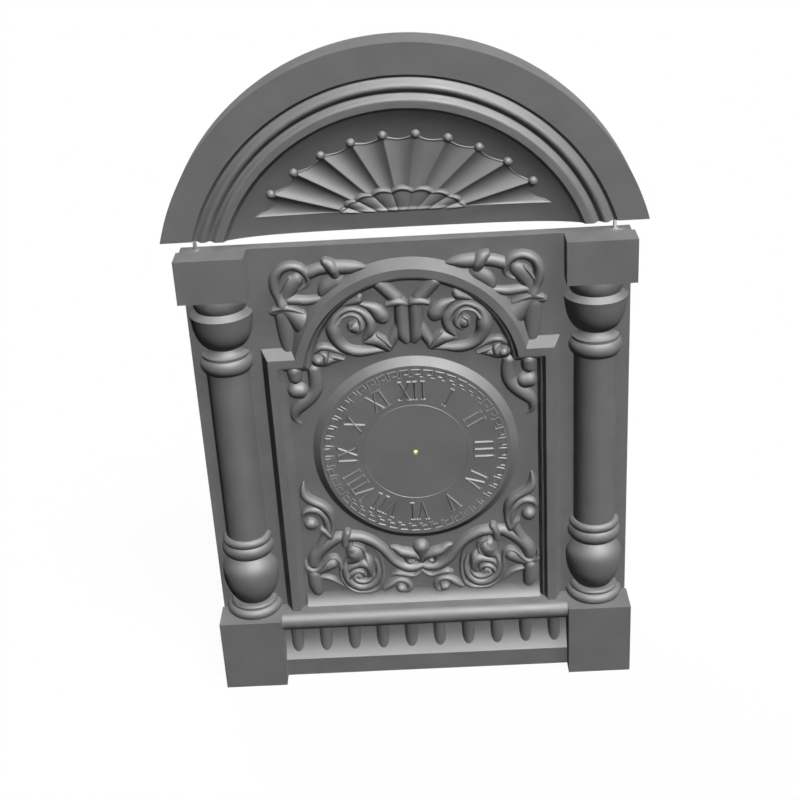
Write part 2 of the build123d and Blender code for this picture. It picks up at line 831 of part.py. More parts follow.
# Arched pediment: moulded arch, hollowed tympanum, fan, palmette and beads
arch_face = panel_face - pediment_proud
arch_back = panel_face + panel_t
pediment_axis = Axis((0, panel_face, pediment_z), (0, 1, 0))
with BuildPart() as pediment_arch:
    with BuildSketch(Plane.YZ):
        with BuildLine():
            Polyline(
                (arch_face, pediment_z + tympanum_r),
                (arch_back, pediment_z + tympanum_r),
                (arch_back, pediment_z + pediment_r),
                (arch_face, pediment_z + pediment_r),
                (arch_face, pediment_z + roll_outer_r),
            )
            ThreePointArc(
                (arch_face, pediment_z + roll_outer_r),
                (arch_face - roll_proud, pediment_z + (roll_outer_r + roll_inner_r) / 2),
                (arch_face, pediment_z + roll_inner_r),
            )
            ThreePointArc(
                (arch_face, pediment_z + roll_inner_r),
                (arch_face - small_roll_proud, pediment_z + (roll_inner_r + bead_inner_r) / 2),
                (arch_face, pediment_z + bead_inner_r),
            )
            Polyline((arch_face, pediment_z + bead_inner_r), (arch_face, pediment_z + tympanum_r))
        make_face()
    revolve(axis=pediment_axis)
    split(bisect_by=Plane.XY.offset(pediment_low), keep=Keep.TOP)
    with BuildSketch(Plane.XY.offset(pediment_low)):
        with Locations((-dowel_x, dowel_y), (dowel_x, dowel_y)):
            Circle(dowel_r)
    extrude(amount=dowel_deep, mode=Mode.SUBTRACT)
keep(pediment_arch, "pediment_arch")

dish_drop = dish_deep - dish_rim
dish_ball_r = (tympanum_r**2 + dish_drop**2) / (2 * dish_drop)
dish_half_way = dish_deep - dish_ball_r + sqrt(dish_ball_r**2 - (tympanum_r / 2) ** 2)
with BuildPart() as tympanum:
    with BuildSketch(Plane.YZ):
        with BuildLine():
            ThreePointArc(
                (arch_face + dish_deep, pediment_z),
                (arch_face + dish_half_way, pediment_z + tympanum_r / 2),
                (arch_face + dish_rim, pediment_z + tympanum_r),
            )
            Polyline(
                (arch_face + dish_rim, pediment_z + tympanum_r),
                (panel_face + tympanum_back, pediment_z + tympanum_r),
                (panel_face + tympanum_back, pediment_z),
                (arch_face + dish_deep, pediment_z),
            )
        make_face()
    revolve(axis=pediment_axis)
    split(bisect_by=Plane.XY.offset(pediment_low), keep=Keep.TOP)
keep(tympanum, "tympanum")

fan_step = (180 - 2 * fan_tip_angle) / (fan_bead_count + 1)
fan_points = []
for fan_point in range(fan_bead_count + 2):
    point_x, point_rise = polar(fan_arc_r, fan_tip_angle + fan_point * fan_step)
    fan_points.append((point_x, fan_arc_z + point_rise))
bead_places = fan_points[1:-1]
fan_base = fan_points[0][1]


def scallop(start, end, sag, focus_z):
    """Edge between two points that bows towards a focus by its sag, or away from it if negative."""
    middle = ((start[0] + end[0]) / 2, (start[1] + end[1]) / 2)
    reach = hypot(middle[0], middle[1] - focus_z)
    bow = (middle[0] * (1 - sag / reach), focus_z + (middle[1] - focus_z) * (1 - sag / reach))
    ThreePointArc(start, bow, end)


with BuildPart() as fan_shell:
    with BuildSketch(behind(fan_depth - pediment_proud)):
        with BuildLine():
            for scallop_start, scallop_end in zip(fan_points, fan_points[1:]):
                scallop(scallop_start, scallop_end, fan_sag, fan_focus)
            Polyline(fan_points[-1], fan_points[0])
        make_face()
    extrude(amount=-dish_deep)
    for flute_start, flute_end in zip(fan_points, fan_points[1:]):
        start_angle = atan2(flute_start[1] - fan_focus, flute_start[0])
        end_angle = atan2(flute_end[1] - fan_focus, flute_end[0])
        middle_angle = (start_angle + end_angle) / 2
        flute_middle = ((flute_start[0] + flute_end[0]) / 2, (flute_start[1] + flute_end[1]) / 2)
        flute_l = hypot(flute_middle[0], flute_middle[1] - fan_focus)
        spread = flute_spread_share * (end_angle - start_angle) / 2
        dip = atan(flute_bite / flute_l)
        opening = atan((1 / cos(spread) - cos(dip)) / sin(dip))
        lean = opening - dip
        heading = (cos(lean) * cos(middle_angle), -sin(lean), cos(lean) * sin(middle_angle))
        mouth_r = flute_l * tan(opening)
        with Locations(Plane(origin=(0, arch_face + fan_depth, fan_focus), z_dir=heading)):
            Cone(0, mouth_r, flute_l, align=(Align.CENTER, Align.CENTER, Align.MIN), mode=Mode.SUBTRACT)
    add(tympanum.part, mode=Mode.SUBTRACT)
keep(fan_shell, "fan_shell")

lobe_points = []
for lobe in range(palmette_lobes + 1):
    lobe_angle = radians(180 * lobe / palmette_lobes)
    lobe_points.append((palmette_half * cos(lobe_angle), fan_base + palmette_h * sin(lobe_angle)))
with BuildPart() as fan_palmette:
    with BuildSketch(behind(palmette_depth - pediment_proud)):
        with BuildLine():
            for lobe_start, lobe_end in zip(lobe_points, lobe_points[1:]):
                scallop(lobe_start, lobe_end, -palmette_bulge, fan_focus)
            Polyline(lobe_points[-1], lobe_points[0])
        make_face()
    extrude(amount=palmette_depth - fan_depth)
keep(fan_palmette, "fan_palmette")

with BuildPart() as fan_beads:
    for bead_x, bead_z in bead_places:
        bead_seat = Plane(origin=(bead_x, arch_face + fan_depth, bead_z), x_dir=(1, 0, 0), z_dir=(0, -1, 0))
        with Locations(bead_seat):
            Sphere(fan_bead_r, arc_size1=0, align=(Align.CENTER, Align.CENTER, Align.MIN))
keep(fan_beads, "fan_beads")

# Dowel pins that stand the pediment in sockets of the panel's top edge
with BuildPart() as pediment_dowels:
    with BuildSketch(Plane.XY.offset(panel_top - dowel_deep)):
        with Locations((-dowel_x, dowel_y), (dowel_x, dowel_y)):
            Circle(dowel_r)
    extrude(amount=2 * dowel_deep + pediment_gap)
keep(pediment_dowels, "pediment_dowels")

# Case boards behind the panel
inside_half = case_half - side_t
button_x = -case_half + side_t / 2
with BuildPart() as side_left:
    with BuildSketch(behind(panel_t)):
        upright_rectangle(-case_half, -inside_half, 0, case_top)
    extrude(amount=-case_depth)
    bore_section(case_back - button_screw_deep, button_screw_deep, button_screw_r, button_x, button_z)
keep(side_left, "side_left")
keep(board(inside_half, case_half, 0, case_top, panel_t, case_back), "side_right")
keep(board(-inside_half, inside_half, 0, board_t, panel_t, case_back), "bottom_board")
keep(board(-inside_half, inside_half, case_top - board_t, case_top, panel_t, case_back), "top_board")

# Inset back door on two butt hinges, held by a turn button
door_half = inside_half - door_gap
door_low = board_t + door_gap
door_high = case_top - board_t - door_gap
back_door = board(-door_half, door_half, door_low, door_high, case_back - door_t, case_back)
keep(back_door, "back_door")

hinge_x = inside_half - door_gap / 2
hinge_y = panel_face + case_back + knuckle_r
leaf_y = panel_face + case_back
knuckle_l = (hinge_h - 2 * knuckle_gap) / 3
hinge_starts = (hinge_low - hinge_h / 2, hinge_high - hinge_h / 2)


def plan_rectangle(left, right, near, far):
    """Rectangle in plan between two X places and two Y places."""
    with Locations(((left + right) / 2, (near + far) / 2)):
        Rectangle(right - left, far - near)


def knuckle(low, outward, bore):
    """One rolled knuckle and the strip of leaf that carries it, added to the piece being built."""
    with BuildSketch(Plane.XY.offset(low)) as section:
        with Locations((hinge_x, hinge_y)):
            Circle(knuckle_r)
        ends = sorted((hinge_x, hinge_x + outward * hinge_leaf_w))
        plan_rectangle(ends[0], ends[1], leaf_y, leaf_y + hinge_leaf_t)
        with Locations((hinge_x, hinge_y)):
            Circle(bore, mode=Mode.SUBTRACT)
    extrude(section.sketch, amount=knuckle_l)


def leaf_strip(low, outward):
    """Full-height part of a hinge leaf, clear of the other leaf's knuckles."""
    near = hinge_x + outward * (knuckle_r + knuckle_gap)
    ends = sorted((near, hinge_x + outward * hinge_leaf_w))
    with BuildSketch(Plane.XY.offset(low)) as section:
        plan_rectangle(ends[0], ends[1], leaf_y, leaf_y + hinge_leaf_t)
    extrude(section.sketch, amount=hinge_h)


with BuildPart() as hinge_case_leaves:
    for hinge_start in hinge_starts:
        leaf_strip(hinge_start, 1)
        knuckle(hinge_start, 1, hinge_pin_r)
        knuckle(hinge_start + 2 * (knuckle_l + knuckle_gap), 1, hinge_pin_r)
keep(hinge_case_leaves, "hinge_case_leaves")

with BuildPart() as hinge_door_leaves:
    for hinge_start in hinge_starts:
        leaf_strip(hinge_start, -1)
        knuckle(hinge_start + knuckle_l + knuckle_gap, -1, hinge_pin_r + hinge_play)
keep(hinge_door_leaves, "hinge_door_leaves")

with BuildPart() as hinge_pins:
    for hinge_start in hinge_starts:
        with BuildSketch(Plane.XY.offset(hinge_start)):
            with Locations((hinge_x, hinge_y)):
                Circle(hinge_pin_r)
        extrude(amount=hinge_h)
keep(hinge_pins, "hinge_pins")

with BuildPart() as turn_button:
    with BuildSketch(behind(case_back + button_gap)):
        with Locations((button_x, button_z + (button_reach - button_tail) / 2)):
            SlotOverall(button_reach + button_tail, button_w, rotation=90)
        with Locations((button_x, button_z)):
            Circle(button_screw_r + run_play, mode=Mode.SUBTRACT)
    extrude(amount=-button_t)
keep(turn_button, "turn_button")

button_head_at = case_back + 2 * button_gap + button_t
button_shank_at = case_back - button_screw_deep
with BuildPart() as turn_button_screw:
    rod_section(button_shank_at, button_head_at - button_shank_at, button_screw_r, button_x, button_z)
    rod_section(button_head_at, button_screw_head_t - button_gap, button_screw_head_r, button_x, button_z)
keep(turn_button_screw, "turn_button_screw")

# Places of the arbors
great_d = great_r * (1 + centre_leaves / great_teeth)
third_d = centre_r * (1 + third_leaves / centre_teeth)
escape_d = third_r * (1 + escape_leaves / third_teeth)
motion_d = motion_r * (1 + cannon_teeth / motion_teeth)
great_x, great_rise = polar(great_d, great_angle)
third_x, third_rise = polar(third_d, third_angle)
escape_lift = sqrt(escape_d**2 - third_x**2)
great_z = dial_z + great_rise
third_z = dial_z + third_rise
escape_z = third_z + escape_lift
anchor_z = escape_z + anchor_rise
motion_x, motion_rise = polar(motion_d, motion_angle)
motion_z = dial_z + motion_rise
escape_angle = degrees(atan2(escape_lift, -third_x))
pillar_x = plate_half - pillar_inset
pillar_heights = (plate_low + pillar_inset, plate_high - pillar_inset)
pillar_places = [(sign * pillar_x, height) for sign in (-1, 1) for height in pillar_heights]
foot_places = [(sign * foot_x, height) for sign in (-1, 1) for height in foot_heights]


def movement_plate(near, arbors):
    """Movement plate with pillar holes and running holes for its arbors."""
    with BuildPart() as plate:
        with BuildSketch(behind(near)):
            upright_rectangle(-plate_half, plate_half, plate_low, plate_high)
            with Locations(*pillar_places):
                Circle(pillar_pivot_r, mode=Mode.SUBTRACT)
            for x, z, radius in arbors:
                with Locations((x, z)):
                    Circle(radius + run_play, mode=Mode.SUBTRACT)
        extrude(amount=-plate_t)
    return plate


train_arbors = [
    (0, dial_z, minute_r), (great_x, great_z, winding_r), (third_x, third_z, third_pivot_r),
    (0, escape_z, escape_pivot_r),
]
front_blank = movement_plate(front_plate_at, train_arbors + [(0, anchor_z, anchor_pivot_r)])
with BuildPart() as front_plate:
    add(front_blank.part)
    for foot_place in foot_places:
        bore_section(front_plate_at, plate_t, foot_screw_r, foot_place[0], foot_place[1])
    rod_section(panel_t + motion_pinion_at, motion_gap - motion_pinion_at, motion_stud_r, motion_x, motion_z)
keep(front_plate, "front_plate")
back_plate = movement_plate(back_plate_at, train_arbors + [(0, anchor_z, anchor_arbor_r)])
keep(back_plate, "back_plate")

with BuildPart() as plate_pillars:
    for place_x, place_z in pillar_places:
        rod_section(train_at, plate_space, pillar_r, place_x, place_z)
        rod_section(front_plate_at, plate_space + 2 * plate_t, pillar_pivot_r, place_x, place_z)
keep(plate_pillars, "plate_pillars")

with BuildPart() as movement_feet:
    for place_x, place_z in foot_places:
        rod_section(panel_t, motion_gap, foot_r, place_x, place_z)
        bore_section(panel_t, motion_gap, foot_screw_r, place_x, place_z)
keep(movement_feet, "movement_feet")

foot_screw_at = panel_t - foot_screw_deep
with BuildPart() as movement_screws:
    for place_x, place_z in foot_places:
        rod_section(foot_screw_at, train_at - foot_screw_at, foot_screw_r, place_x, place_z)
        rod_section(train_at, foot_screw_head_t, foot_screw_head_r, place_x, place_z)
keep(movement_screws, "movement_screws")

# Minute body: centre arbor with its pinion, centre wheel, and cannon pinion
with BuildPart() as centre_arbor:
    rod_section(minute_back - dial_t, dial_t - minute_back + works_back + end_play, minute_r, 0, dial_z)
    rod_section(train_at + end_play, plate_space - 2 * end_play, centre_body_r, 0, dial_z)
    gear_section(
        train_at + centre_pinion_at, centre_pinion_l, centre_leaves, great_d - great_r,
        great_angle + 180 / centre_leaves, 0, dial_z, 0,
    )
keep(centre_arbor, "centre_arbor")

with BuildPart() as centre_wheel:
    gear_section(train_at + centre_at, wheel_t, centre_teeth, centre_r, third_angle, 0, dial_z, centre_body_r)
    lighten(train_at + centre_at, wheel_t, centre_r, 0, dial_z)
keep(centre_wheel, "centre_wheel")

with BuildPart() as cannon_pinion:
    gear_section(
        panel_t + cannon_at, cannon_l, cannon_teeth, motion_d - motion_r,
        motion_angle + 180 / cannon_teeth, 0, dial_z, minute_r,
    )
keep(cannon_pinion, "cannon_pinion")

# Motion work: motion wheel on its stud, and hour wheel with its pipe
hour_r = motion_d * hour_teeth / (hour_teeth + motion_leaves)
with BuildPart() as motion_wheel:
    gear_section(
        panel_t + motion_pinion_at, motion_pinion_l, motion_leaves, motion_d - hour_r,
        motion_angle + 180 + 180 / motion_leaves, motion_x, motion_z, 0,
    )
    rod_section(panel_t + motion_pinion_at, motion_at - motion_pinion_at, motion_hub_r, motion_x, motion_z)
    gear_section(
        panel_t + motion_at, wheel_t, motion_teeth, motion_r,
        motion_angle + 180, motion_x, motion_z, 0,
    )
    bore_section(panel_t, motion_gap, motion_stud_r + run_play, motion_x, motion_z)
keep(motion_wheel, "motion_wheel")

with BuildPart() as hour_wheel:
    gear_section(panel_t + hour_at, wheel_t, hour_teeth, hour_r, motion_angle, 0, dial_z, 0)
    rod_section(hour_back - dial_t, dial_t - hour_back + panel_t + hour_at, hour_pipe_r, 0, dial_z)
    hour_bore_l = dial_t - hour_back + panel_t + motion_gap
    bore_section(hour_back - dial_t, hour_bore_l, minute_r + hour_play, 0, dial_z)
keep(hour_wheel, "hour_wheel")

# Barrel with its great wheel, mainspring, winding arbor and key
drum_at = train_at + great_at + great_t
with BuildPart() as mainspring_barrel:
    gear_section(train_at + great_at, great_t, great_teeth, great_r, great_angle + 180, great_x, great_z, 0)
    rod_section(drum_at, drum_deep, drum_r, great_x, great_z)
    bore_section(drum_at, drum_deep - drum_cap_t, drum_r - drum_wall, great_x, great_z)
    bore_section(train_at, plate_space, winding_r + run_play, great_x, great_z)
keep(mainspring_barrel, "mainspring_barrel")

with BuildPart() as mainspring:
    rod_section(
        drum_at + spring_room, drum_deep - drum_cap_t - 2 * spring_room, drum_r - drum_wall - spring_room,
        great_x, great_z,
    )
    bore_section(drum_at, drum_deep, spring_inner_r, great_x, great_z)
keep(mainspring, "mainspring")

with BuildPart() as winding_arbor:
    rod_section(front_plate_at, works_back - front_plate_at + end_play, winding_r, great_x, great_z)
    with BuildSketch(behind(works_back)):
        with Locations((great_x, great_z)):
            Rectangle(winding_square, winding_square)
    extrude(amount=-winding_proud)
keep(winding_arbor, "winding_arbor")

key_at = works_back + key_start
with BuildPart() as winding_key:
    rod_section(key_at, key_l, key_r, great_x, great_z)
    with BuildSketch(behind(key_at)):
        with Locations((great_x, great_z)):
            Rectangle(winding_square + 2 * key_gap, winding_square + 2 * key_gap)
    extrude(amount=-(winding_proud - key_start + key_gap), mode=Mode.SUBTRACT)
    with BuildSketch(Plane.XY.offset(great_z - key_wing_t / 2)):
        with Locations((great_x, panel_face + key_at + key_l + key_wing_h / 2)):
            SlotOverall(2 * key_wing_half, key_wing_h)
    extrude(amount=key_wing_t)
keep(winding_key, "winding_key")

# Third wheel and escape wheel, each with its pinion on one arbor
with BuildPart() as third_wheel:
    rod_section(front_plate_at, works_back - front_plate_at, third_pivot_r, third_x, third_z)
    rod_section(train_at + end_play, plate_space - 2 * end_play, third_body_r, third_x, third_z)
    gear_section(
        train_at + third_pinion_at, third_pinion_l, third_leaves, third_d - centre_r,
        third_angle + 180 + 180 / third_leaves, third_x, third_z, 0,
    )
    gear_section(train_at + third_at, wheel_t, third_teeth, third_r, escape_angle, third_x, third_z, 0)
    lighten(train_at + third_at, wheel_t, third_r, third_x, third_z)
keep(third_wheel, "third_wheel")

escape_half = 180 / escape_teeth
escape_points = []
for tooth in range(escape_teeth):
    tooth_angle = 2 * escape_half * tooth
    escape_points.append(polar(escape_root_r, tooth_angle - escape_half))
    escape_points.append(polar(escape_tip_r, tooth_angle + escape_lean_share * escape_half))
    escape_points.append(polar(escape_root_r, tooth_angle))
escape_outline = [(across, escape_z + rise) for across, rise in escape_points]
with BuildPart() as escape_wheel:
    rod_section(front_plate_at, works_back - front_plate_at, escape_pivot_r, 0, escape_z)
    rod_section(train_at + end_play, plate_space - 2 * end_play, escape_body_r, 0, escape_z)
    gear_section(
        train_at + escape_pinion_at, escape_pinion_l, escape_leaves, escape_d - third_r,
        escape_angle + 180 + 180 / escape_leaves, 0, escape_z, 0,
    )
    with BuildSketch(behind(train_at + escape_at)):
        with BuildLine():
            Polyline(*escape_outline, close=True)
        make_face()
    extrude(amount=-wheel_t)
    lighten(train_at + escape_at, wheel_t, escape_root_r, 0, escape_z)
keep(escape_wheel, "escape_wheel")

# Anchor with its arbor and crutch
pallet_r = escape_tip_r + pallet_clear
pallet_x, pallet_rise = polar(pallet_r, 90 - pallet_angle)
pallet_drop = anchor_rise - pallet_rise
crutch_back = works_back + crutch_at + crutch_t
prong_x = rod_r + rod_play + crutch_prong_r
prong_z = anchor_z - crutch_l
with BuildPart() as anchor:
    rod_section(front_plate_at, plate_t + end_play, anchor_pivot_r, 0, anchor_z)
    rod_section(train_at + end_play, crutch_back - train_at - end_play, anchor_arbor_r, 0, anchor_z)
    with BuildSketch(behind(train_at + anchor_at)):
        with BuildLine():
            Polyline(
                (0, anchor_z + anchor_band),
                (-pallet_x - pallet_w, anchor_z - pallet_drop + anchor_band),
                (-pallet_x, anchor_z - pallet_drop),
                (-pallet_x + pallet_w, anchor_z - pallet_drop + anchor_band),
                (0, anchor_z - anchor_band / 2),
                (pallet_x - pallet_w, anchor_z - pallet_drop + anchor_band),
                (pallet_x, anchor_z - pallet_drop),
                (pallet_x + pallet_w, anchor_z - pallet_drop + anchor_band),
                close=True,
            )
        make_face()
    extrude(amount=-anchor_t)
    with BuildSketch(behind(works_back + crutch_at)):
        upright_rectangle(-crutch_w / 2, crutch_w / 2, prong_z, anchor_z)
        with Locations((0, prong_z)):
            Rectangle(2 * (prong_x + crutch_prong_r), crutch_w)
    extrude(amount=-crutch_t)
    for sign in (-1, 1):
        prong_reach = crutch_prong_l + crutch_t
        rod_section(works_back + crutch_at, prong_reach, crutch_prong_r, sign * prong_x, prong_z)
keep(anchor, "anchor")

# Pendulum hung from its cock by a spring strip
rod_top = anchor_z + spring_strip_h
bob_z = anchor_z - pendulum_l
rod_y = panel_face + works_back + rod_at
with BuildPart() as suspension_cock:
    with BuildSketch(behind(works_back)):
        upright_rectangle(-cock_half, cock_half, rod_top + end_play, rod_top + end_play + cock_h)
    extrude(amount=-cock_proud)
keep(suspension_cock, "suspension_cock")

with BuildPart() as pendulum_rod:
    with BuildSketch(Plane.XY.offset(bob_z - bob_r - rod_tail)):
        with Locations((0, rod_y)):
            Circle(rod_r)
    extrude(amount=anchor_z - spring_strip_h - bob_z + bob_r + rod_tail)
    with BuildSketch(Plane.XY.offset(anchor_z - spring_strip_h)):
        with Locations((0, rod_y)):
            Rectangle(spring_strip_t, spring_strip_w)
    extrude(amount=rod_top - anchor_z + spring_strip_h)
keep(pendulum_rod, "pendulum_rod")

bob_rim = bob_rim_t / 2
crown_x = bob_crown_share * bob_r
crown_y = bob_rim + (bob_t / 2 - bob_rim) * (1 - bob_crown_share**2)
with BuildPart() as pendulum_bob:
    with BuildSketch(Plane.XY.offset(bob_z)):
        with BuildLine():
            Polyline((0, rod_y - bob_t / 2), (0, rod_y + bob_t / 2))
            ThreePointArc((0, rod_y + bob_t / 2), (crown_x, rod_y + crown_y), (bob_r, rod_y + bob_rim))
            Polyline((bob_r, rod_y + bob_rim), (bob_r, rod_y - bob_rim))
            ThreePointArc((bob_r, rod_y - bob_rim), (crown_x, rod_y - crown_y), (0, rod_y - bob_t / 2))
        make_face()
    revolve(axis=Axis((0, rod_y, bob_z), (0, 1, 0)))
    add(pendulum_rod.part, mode=Mode.SUBTRACT)
keep(pendulum_bob, "pendulum_bob")
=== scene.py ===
import json
from collections import namedtuple
from math import asin, atan2, cos, hypot, pi, radians, sin

import bpy
import numpy as np
from bpy.props import FloatProperty, FloatVectorProperty, IntProperty, PointerProperty
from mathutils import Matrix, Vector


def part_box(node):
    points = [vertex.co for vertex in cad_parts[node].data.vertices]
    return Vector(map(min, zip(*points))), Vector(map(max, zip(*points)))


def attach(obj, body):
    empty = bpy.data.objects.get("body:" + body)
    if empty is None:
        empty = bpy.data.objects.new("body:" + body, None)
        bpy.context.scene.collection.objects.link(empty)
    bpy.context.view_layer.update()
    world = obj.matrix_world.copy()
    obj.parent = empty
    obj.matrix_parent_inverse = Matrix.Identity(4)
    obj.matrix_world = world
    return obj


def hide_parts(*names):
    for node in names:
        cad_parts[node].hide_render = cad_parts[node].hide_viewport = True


bl_info = {
    "name": "Arched Shelf Clock",
    "version": (1, 0, 0),
    "blender": (4, 5, 0),
    "location": "View3D > Sidebar > Clock",
    "description": "Carves and finishes an arched shelf clock around its fixed frame",
    "category": "Object",
}

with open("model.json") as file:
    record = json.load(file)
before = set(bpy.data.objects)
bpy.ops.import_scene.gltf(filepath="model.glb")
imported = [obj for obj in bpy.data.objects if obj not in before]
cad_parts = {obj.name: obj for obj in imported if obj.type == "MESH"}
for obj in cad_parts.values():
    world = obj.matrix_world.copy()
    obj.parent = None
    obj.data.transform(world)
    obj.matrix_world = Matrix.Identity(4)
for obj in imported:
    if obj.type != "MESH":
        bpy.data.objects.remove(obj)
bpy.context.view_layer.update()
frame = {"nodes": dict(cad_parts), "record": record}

# Lamps: the key light comes from the upper right, partly with a shadow, and another light from behind
key_from = (0.29, -0.45, 0.845)
key_spread = 25
key_share = 0.35
soft_spread = 12
back_from = (-0.3, 0.93, 0.2)
back_spread = 40

# Camera at the photograph's angle
camera_at = (0.010775, -0.87575, 0.62686)
camera_turn = (1.11031, 0.053049, -0.003163)
camera_lens = 63.87
camera_sensor = 36
camera_near = 0.01

# The carving is drawn in millimetres, across and up from the foot of the front
mm = 0.001
panel_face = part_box("front_panel")[0].y

# One carved stem: places with half widths, its crown over a lift off the ground, and square ends
Stem = namedtuple("Stem", "places crown lift square_start square_end", defaults=(0, False, False))

# Ground of the carving past its stems and below the panel, and limits of a stem in half widths
ground_margin = 2
ground_depth = 3.0
ground_slope = 4
thinnest_half = 0.3
deepest_fall_share = 1.35
off_stem = -9.0

# Angles under which an edge is smoothed
carved_angle = 60
turned_angle = 30
slip_angle = 20

# Spandrel scroll on the left: hooked stem, inner lobe and vein, calyx, leaf, tie, lobe, cuff and branch
SPANDREL = (
    Stem([(-80, 283.5, 4.2), (-81.8, 288, 3.2), (-83.4, 293, 3.6), (-83.8, 298.5, 3.7), (-82.4, 303.5, 3.6),
          (-78.6, 307.6, 3.3), (-72.8, 309.4, 3.1), (-67.2, 308, 3.1), (-63.6, 304.2, 2.7),
          (-62.2, 299.6, 1.9), (-63.6, 295.8, 1.4), (-68.4, 293, 0.6)], 6.4),
    Stem([(-79, 283.6, 4.8), (-77.6, 289.6, 5), (-74, 296, 6), (-70, 299.4, 4.6)], 4),
    Stem([(-81.4, 291.6, 0.6), (-79, 296, 0.9), (-74.4, 302, 0.5)], 0.8, 3.8),
    Stem([(-86.4, 278.4, 2.8), (-81, 279.6, 3.4), (-75.6, 277.2, 5), (-67, 269, 8)], 6),
    Stem([(-86, 280.8, 1.2), (-80, 282, 1.7), (-74, 281, 1.6), (-66.6, 278.2, 0.8)], 1.6, 4.6),
    Stem([(-80, 275.6, 6), (-79.4, 266, 5.6), (-79.2, 257, 4.6), (-78.6, 250.6, 3.4)], 4.2),
    Stem([(-75.6, 286, 3), (-70, 285.6, 3.5), (-64, 285, 3.4), (-57, 286, 2.8), (-53, 287.4, 2)], 4.4),
    Stem([(-45, 298, 6), (-50, 294.4, 5.6), (-53, 290.2, 3.9), (-54.2, 286.4, 1.2)], 5.2),
    Stem([(-61, 304, 4.4), (-55, 306, 4.4), (-50, 306.6, 4.4)], 5),
    Stem([(-50.8, 311.4, 2.6), (-47.8, 309, 4.2), (-45.6, 305.6, 4.4), (-44.8, 302.8, 3.2)], 7.2),
    Stem([(-44.6, 306.8, 4.8), (-37, 306.4, 4.8), (-31, 306.6, 3.2), (-25.4, 306.2, 0.9)], 5.4),
)

# Crest scroll inside the arch: pod, strap, stem, collar, spiral with its eye, cup, bell, lobe and bud
CREST = (
    Stem([(-4.4, 280, 4.8), (-4.4, 266, 4.8), (-4, 258.6, 4.6), (-2.6, 254.8, 3)], 6.2),
    Stem([(-7, 264, 3.4), (-9.6, 258.6, 3.8), (-12.6, 252.6, 3.4), (-15, 248.6, 2)], 4.6),
    Stem([(-17, 293.4, 4.6), (-12.4, 288.8, 4.8), (-7.8, 284, 4.8)], 5.2),
    Stem([(-12.8, 280.8, 1.9), (-8.4, 282.2, 2.4), (-4, 282, 2.2), (-1, 280.4, 1.4)], 7),
    Stem([(-15.6, 248, 1), (-22, 248.4, 2.4), (-32, 247.8, 3.8), (-39, 249.4, 3.8), (-44.2, 253, 4.2),
          (-47.6, 258.6, 5), (-48.4, 264.6, 5.4), (-47.8, 270, 3.6), (-45.4, 274, 2.6), (-41, 277, 2.1),
          (-36, 278, 1.9), (-30.4, 275.9, 2.3), (-26.6, 272, 3.2), (-24.6, 267, 3.8), (-25.6, 261.8, 3.6),
          (-28.6, 257.6, 2)], 6.4),
    Stem([(-45.4, 268.6, 1.8), (-43.4, 271.8, 1.3), (-39.6, 274, 1.1), (-35.6, 274.4, 1.2),
          (-32.2, 272.4, 1.5), (-30.6, 269, 1.9), (-30.8, 264.8, 2.2), (-33.6, 261.8, 1.6)], 5.8),
    Stem([(-35.4, 266, 4.6), (-34.8, 265.4, 4.6)], 6.2),
    Stem([(-38.4, 264.6, 0.7), (-37.6, 268.4, 0.9), (-35, 270.2, 0.8)], 1, 5.2),
    Stem([(-29, 255, 1.6), (-26, 255.2, 3.2), (-21, 255.2, 4.8), (-17, 252.6, 4.2),
          (-13.6, 249.6, 2.6)], 5.6),
    Stem([(-20.6, 259.8, 0.8), (-16, 255.6, 1), (-12.4, 251.4, 0.9)], 1.4, 3.8),
    Stem([(-30.4, 281, 1.2), (-25.6, 279.4, 2.6), (-21, 276.6, 4.4), (-18, 272.8, 5.4),
          (-16.8, 270.8, 4.6)], 5.4),
    Stem([(-41, 280.8, 0.8), (-36.4, 282.6, 2.4), (-32, 284.2, 3.4), (-30.8, 286, 2.6)], 4.6),
    Stem([(-61.6, 249.6, 1.4), (-58.6, 252.4, 2.2), (-54.4, 252.8, 2.3), (-50, 251.2, 2), (-45, 248.2, 1.3),
          (-40.6, 245.6, 0.6)], 5.4),
    Stem([(-60.8, 242.6, 4.2), (-56, 242.2, 4), (-50, 243.2, 2.8), (-43, 243.4, 1)], 4.6),
    Stem([(-57.8, 248.6, 0.9), (-55, 246.8, 1.8), (-55.2, 243.6, 2)], 5.6),
    Stem([(-52, 246.6, 0.8), (-48, 245.2, 1.4), (-43.4, 243.8, 0.8)], 1.6, 3.4),
    Stem([(-60.4, 243.4, 3.2), (-60, 243.2, 3.2)], 6.4),
)

# Rising leaf at the foot of a stile: outer leaf, inner band, eye and a small leaf
RISING_LEAF = (
    Stem([(-77.4, 152.4, 0.7), (-78, 148.6, 1.9), (-77.6, 144, 3), (-75, 140, 3.5), (-70.6, 137, 3.2),
          (-65.6, 133.8, 3.2), (-61.8, 129, 3), (-60.2, 123, 2.4), (-60.2, 116, 2), (-62, 110, 2.6)], 6),
    Stem([(-80, 126.4, 1.4), (-77.6, 130, 2.4), (-72.6, 131, 2.8), (-67.6, 128.6, 3), (-64.4, 124, 3.2),
          (-63.4, 118, 3.2), (-64.4, 112, 3.4), (-67.6, 105, 3.6), (-70, 100, 3.6)], 5),
    Stem([(-75.2, 119.8, 4.8), (-74.8, 119.6, 4.8)], 5.6),
    Stem([(-68, 117, 0.8), (-65.6, 114.4, 1.5), (-62.4, 110.4, 1.2)], 1.6, 4.4),
)

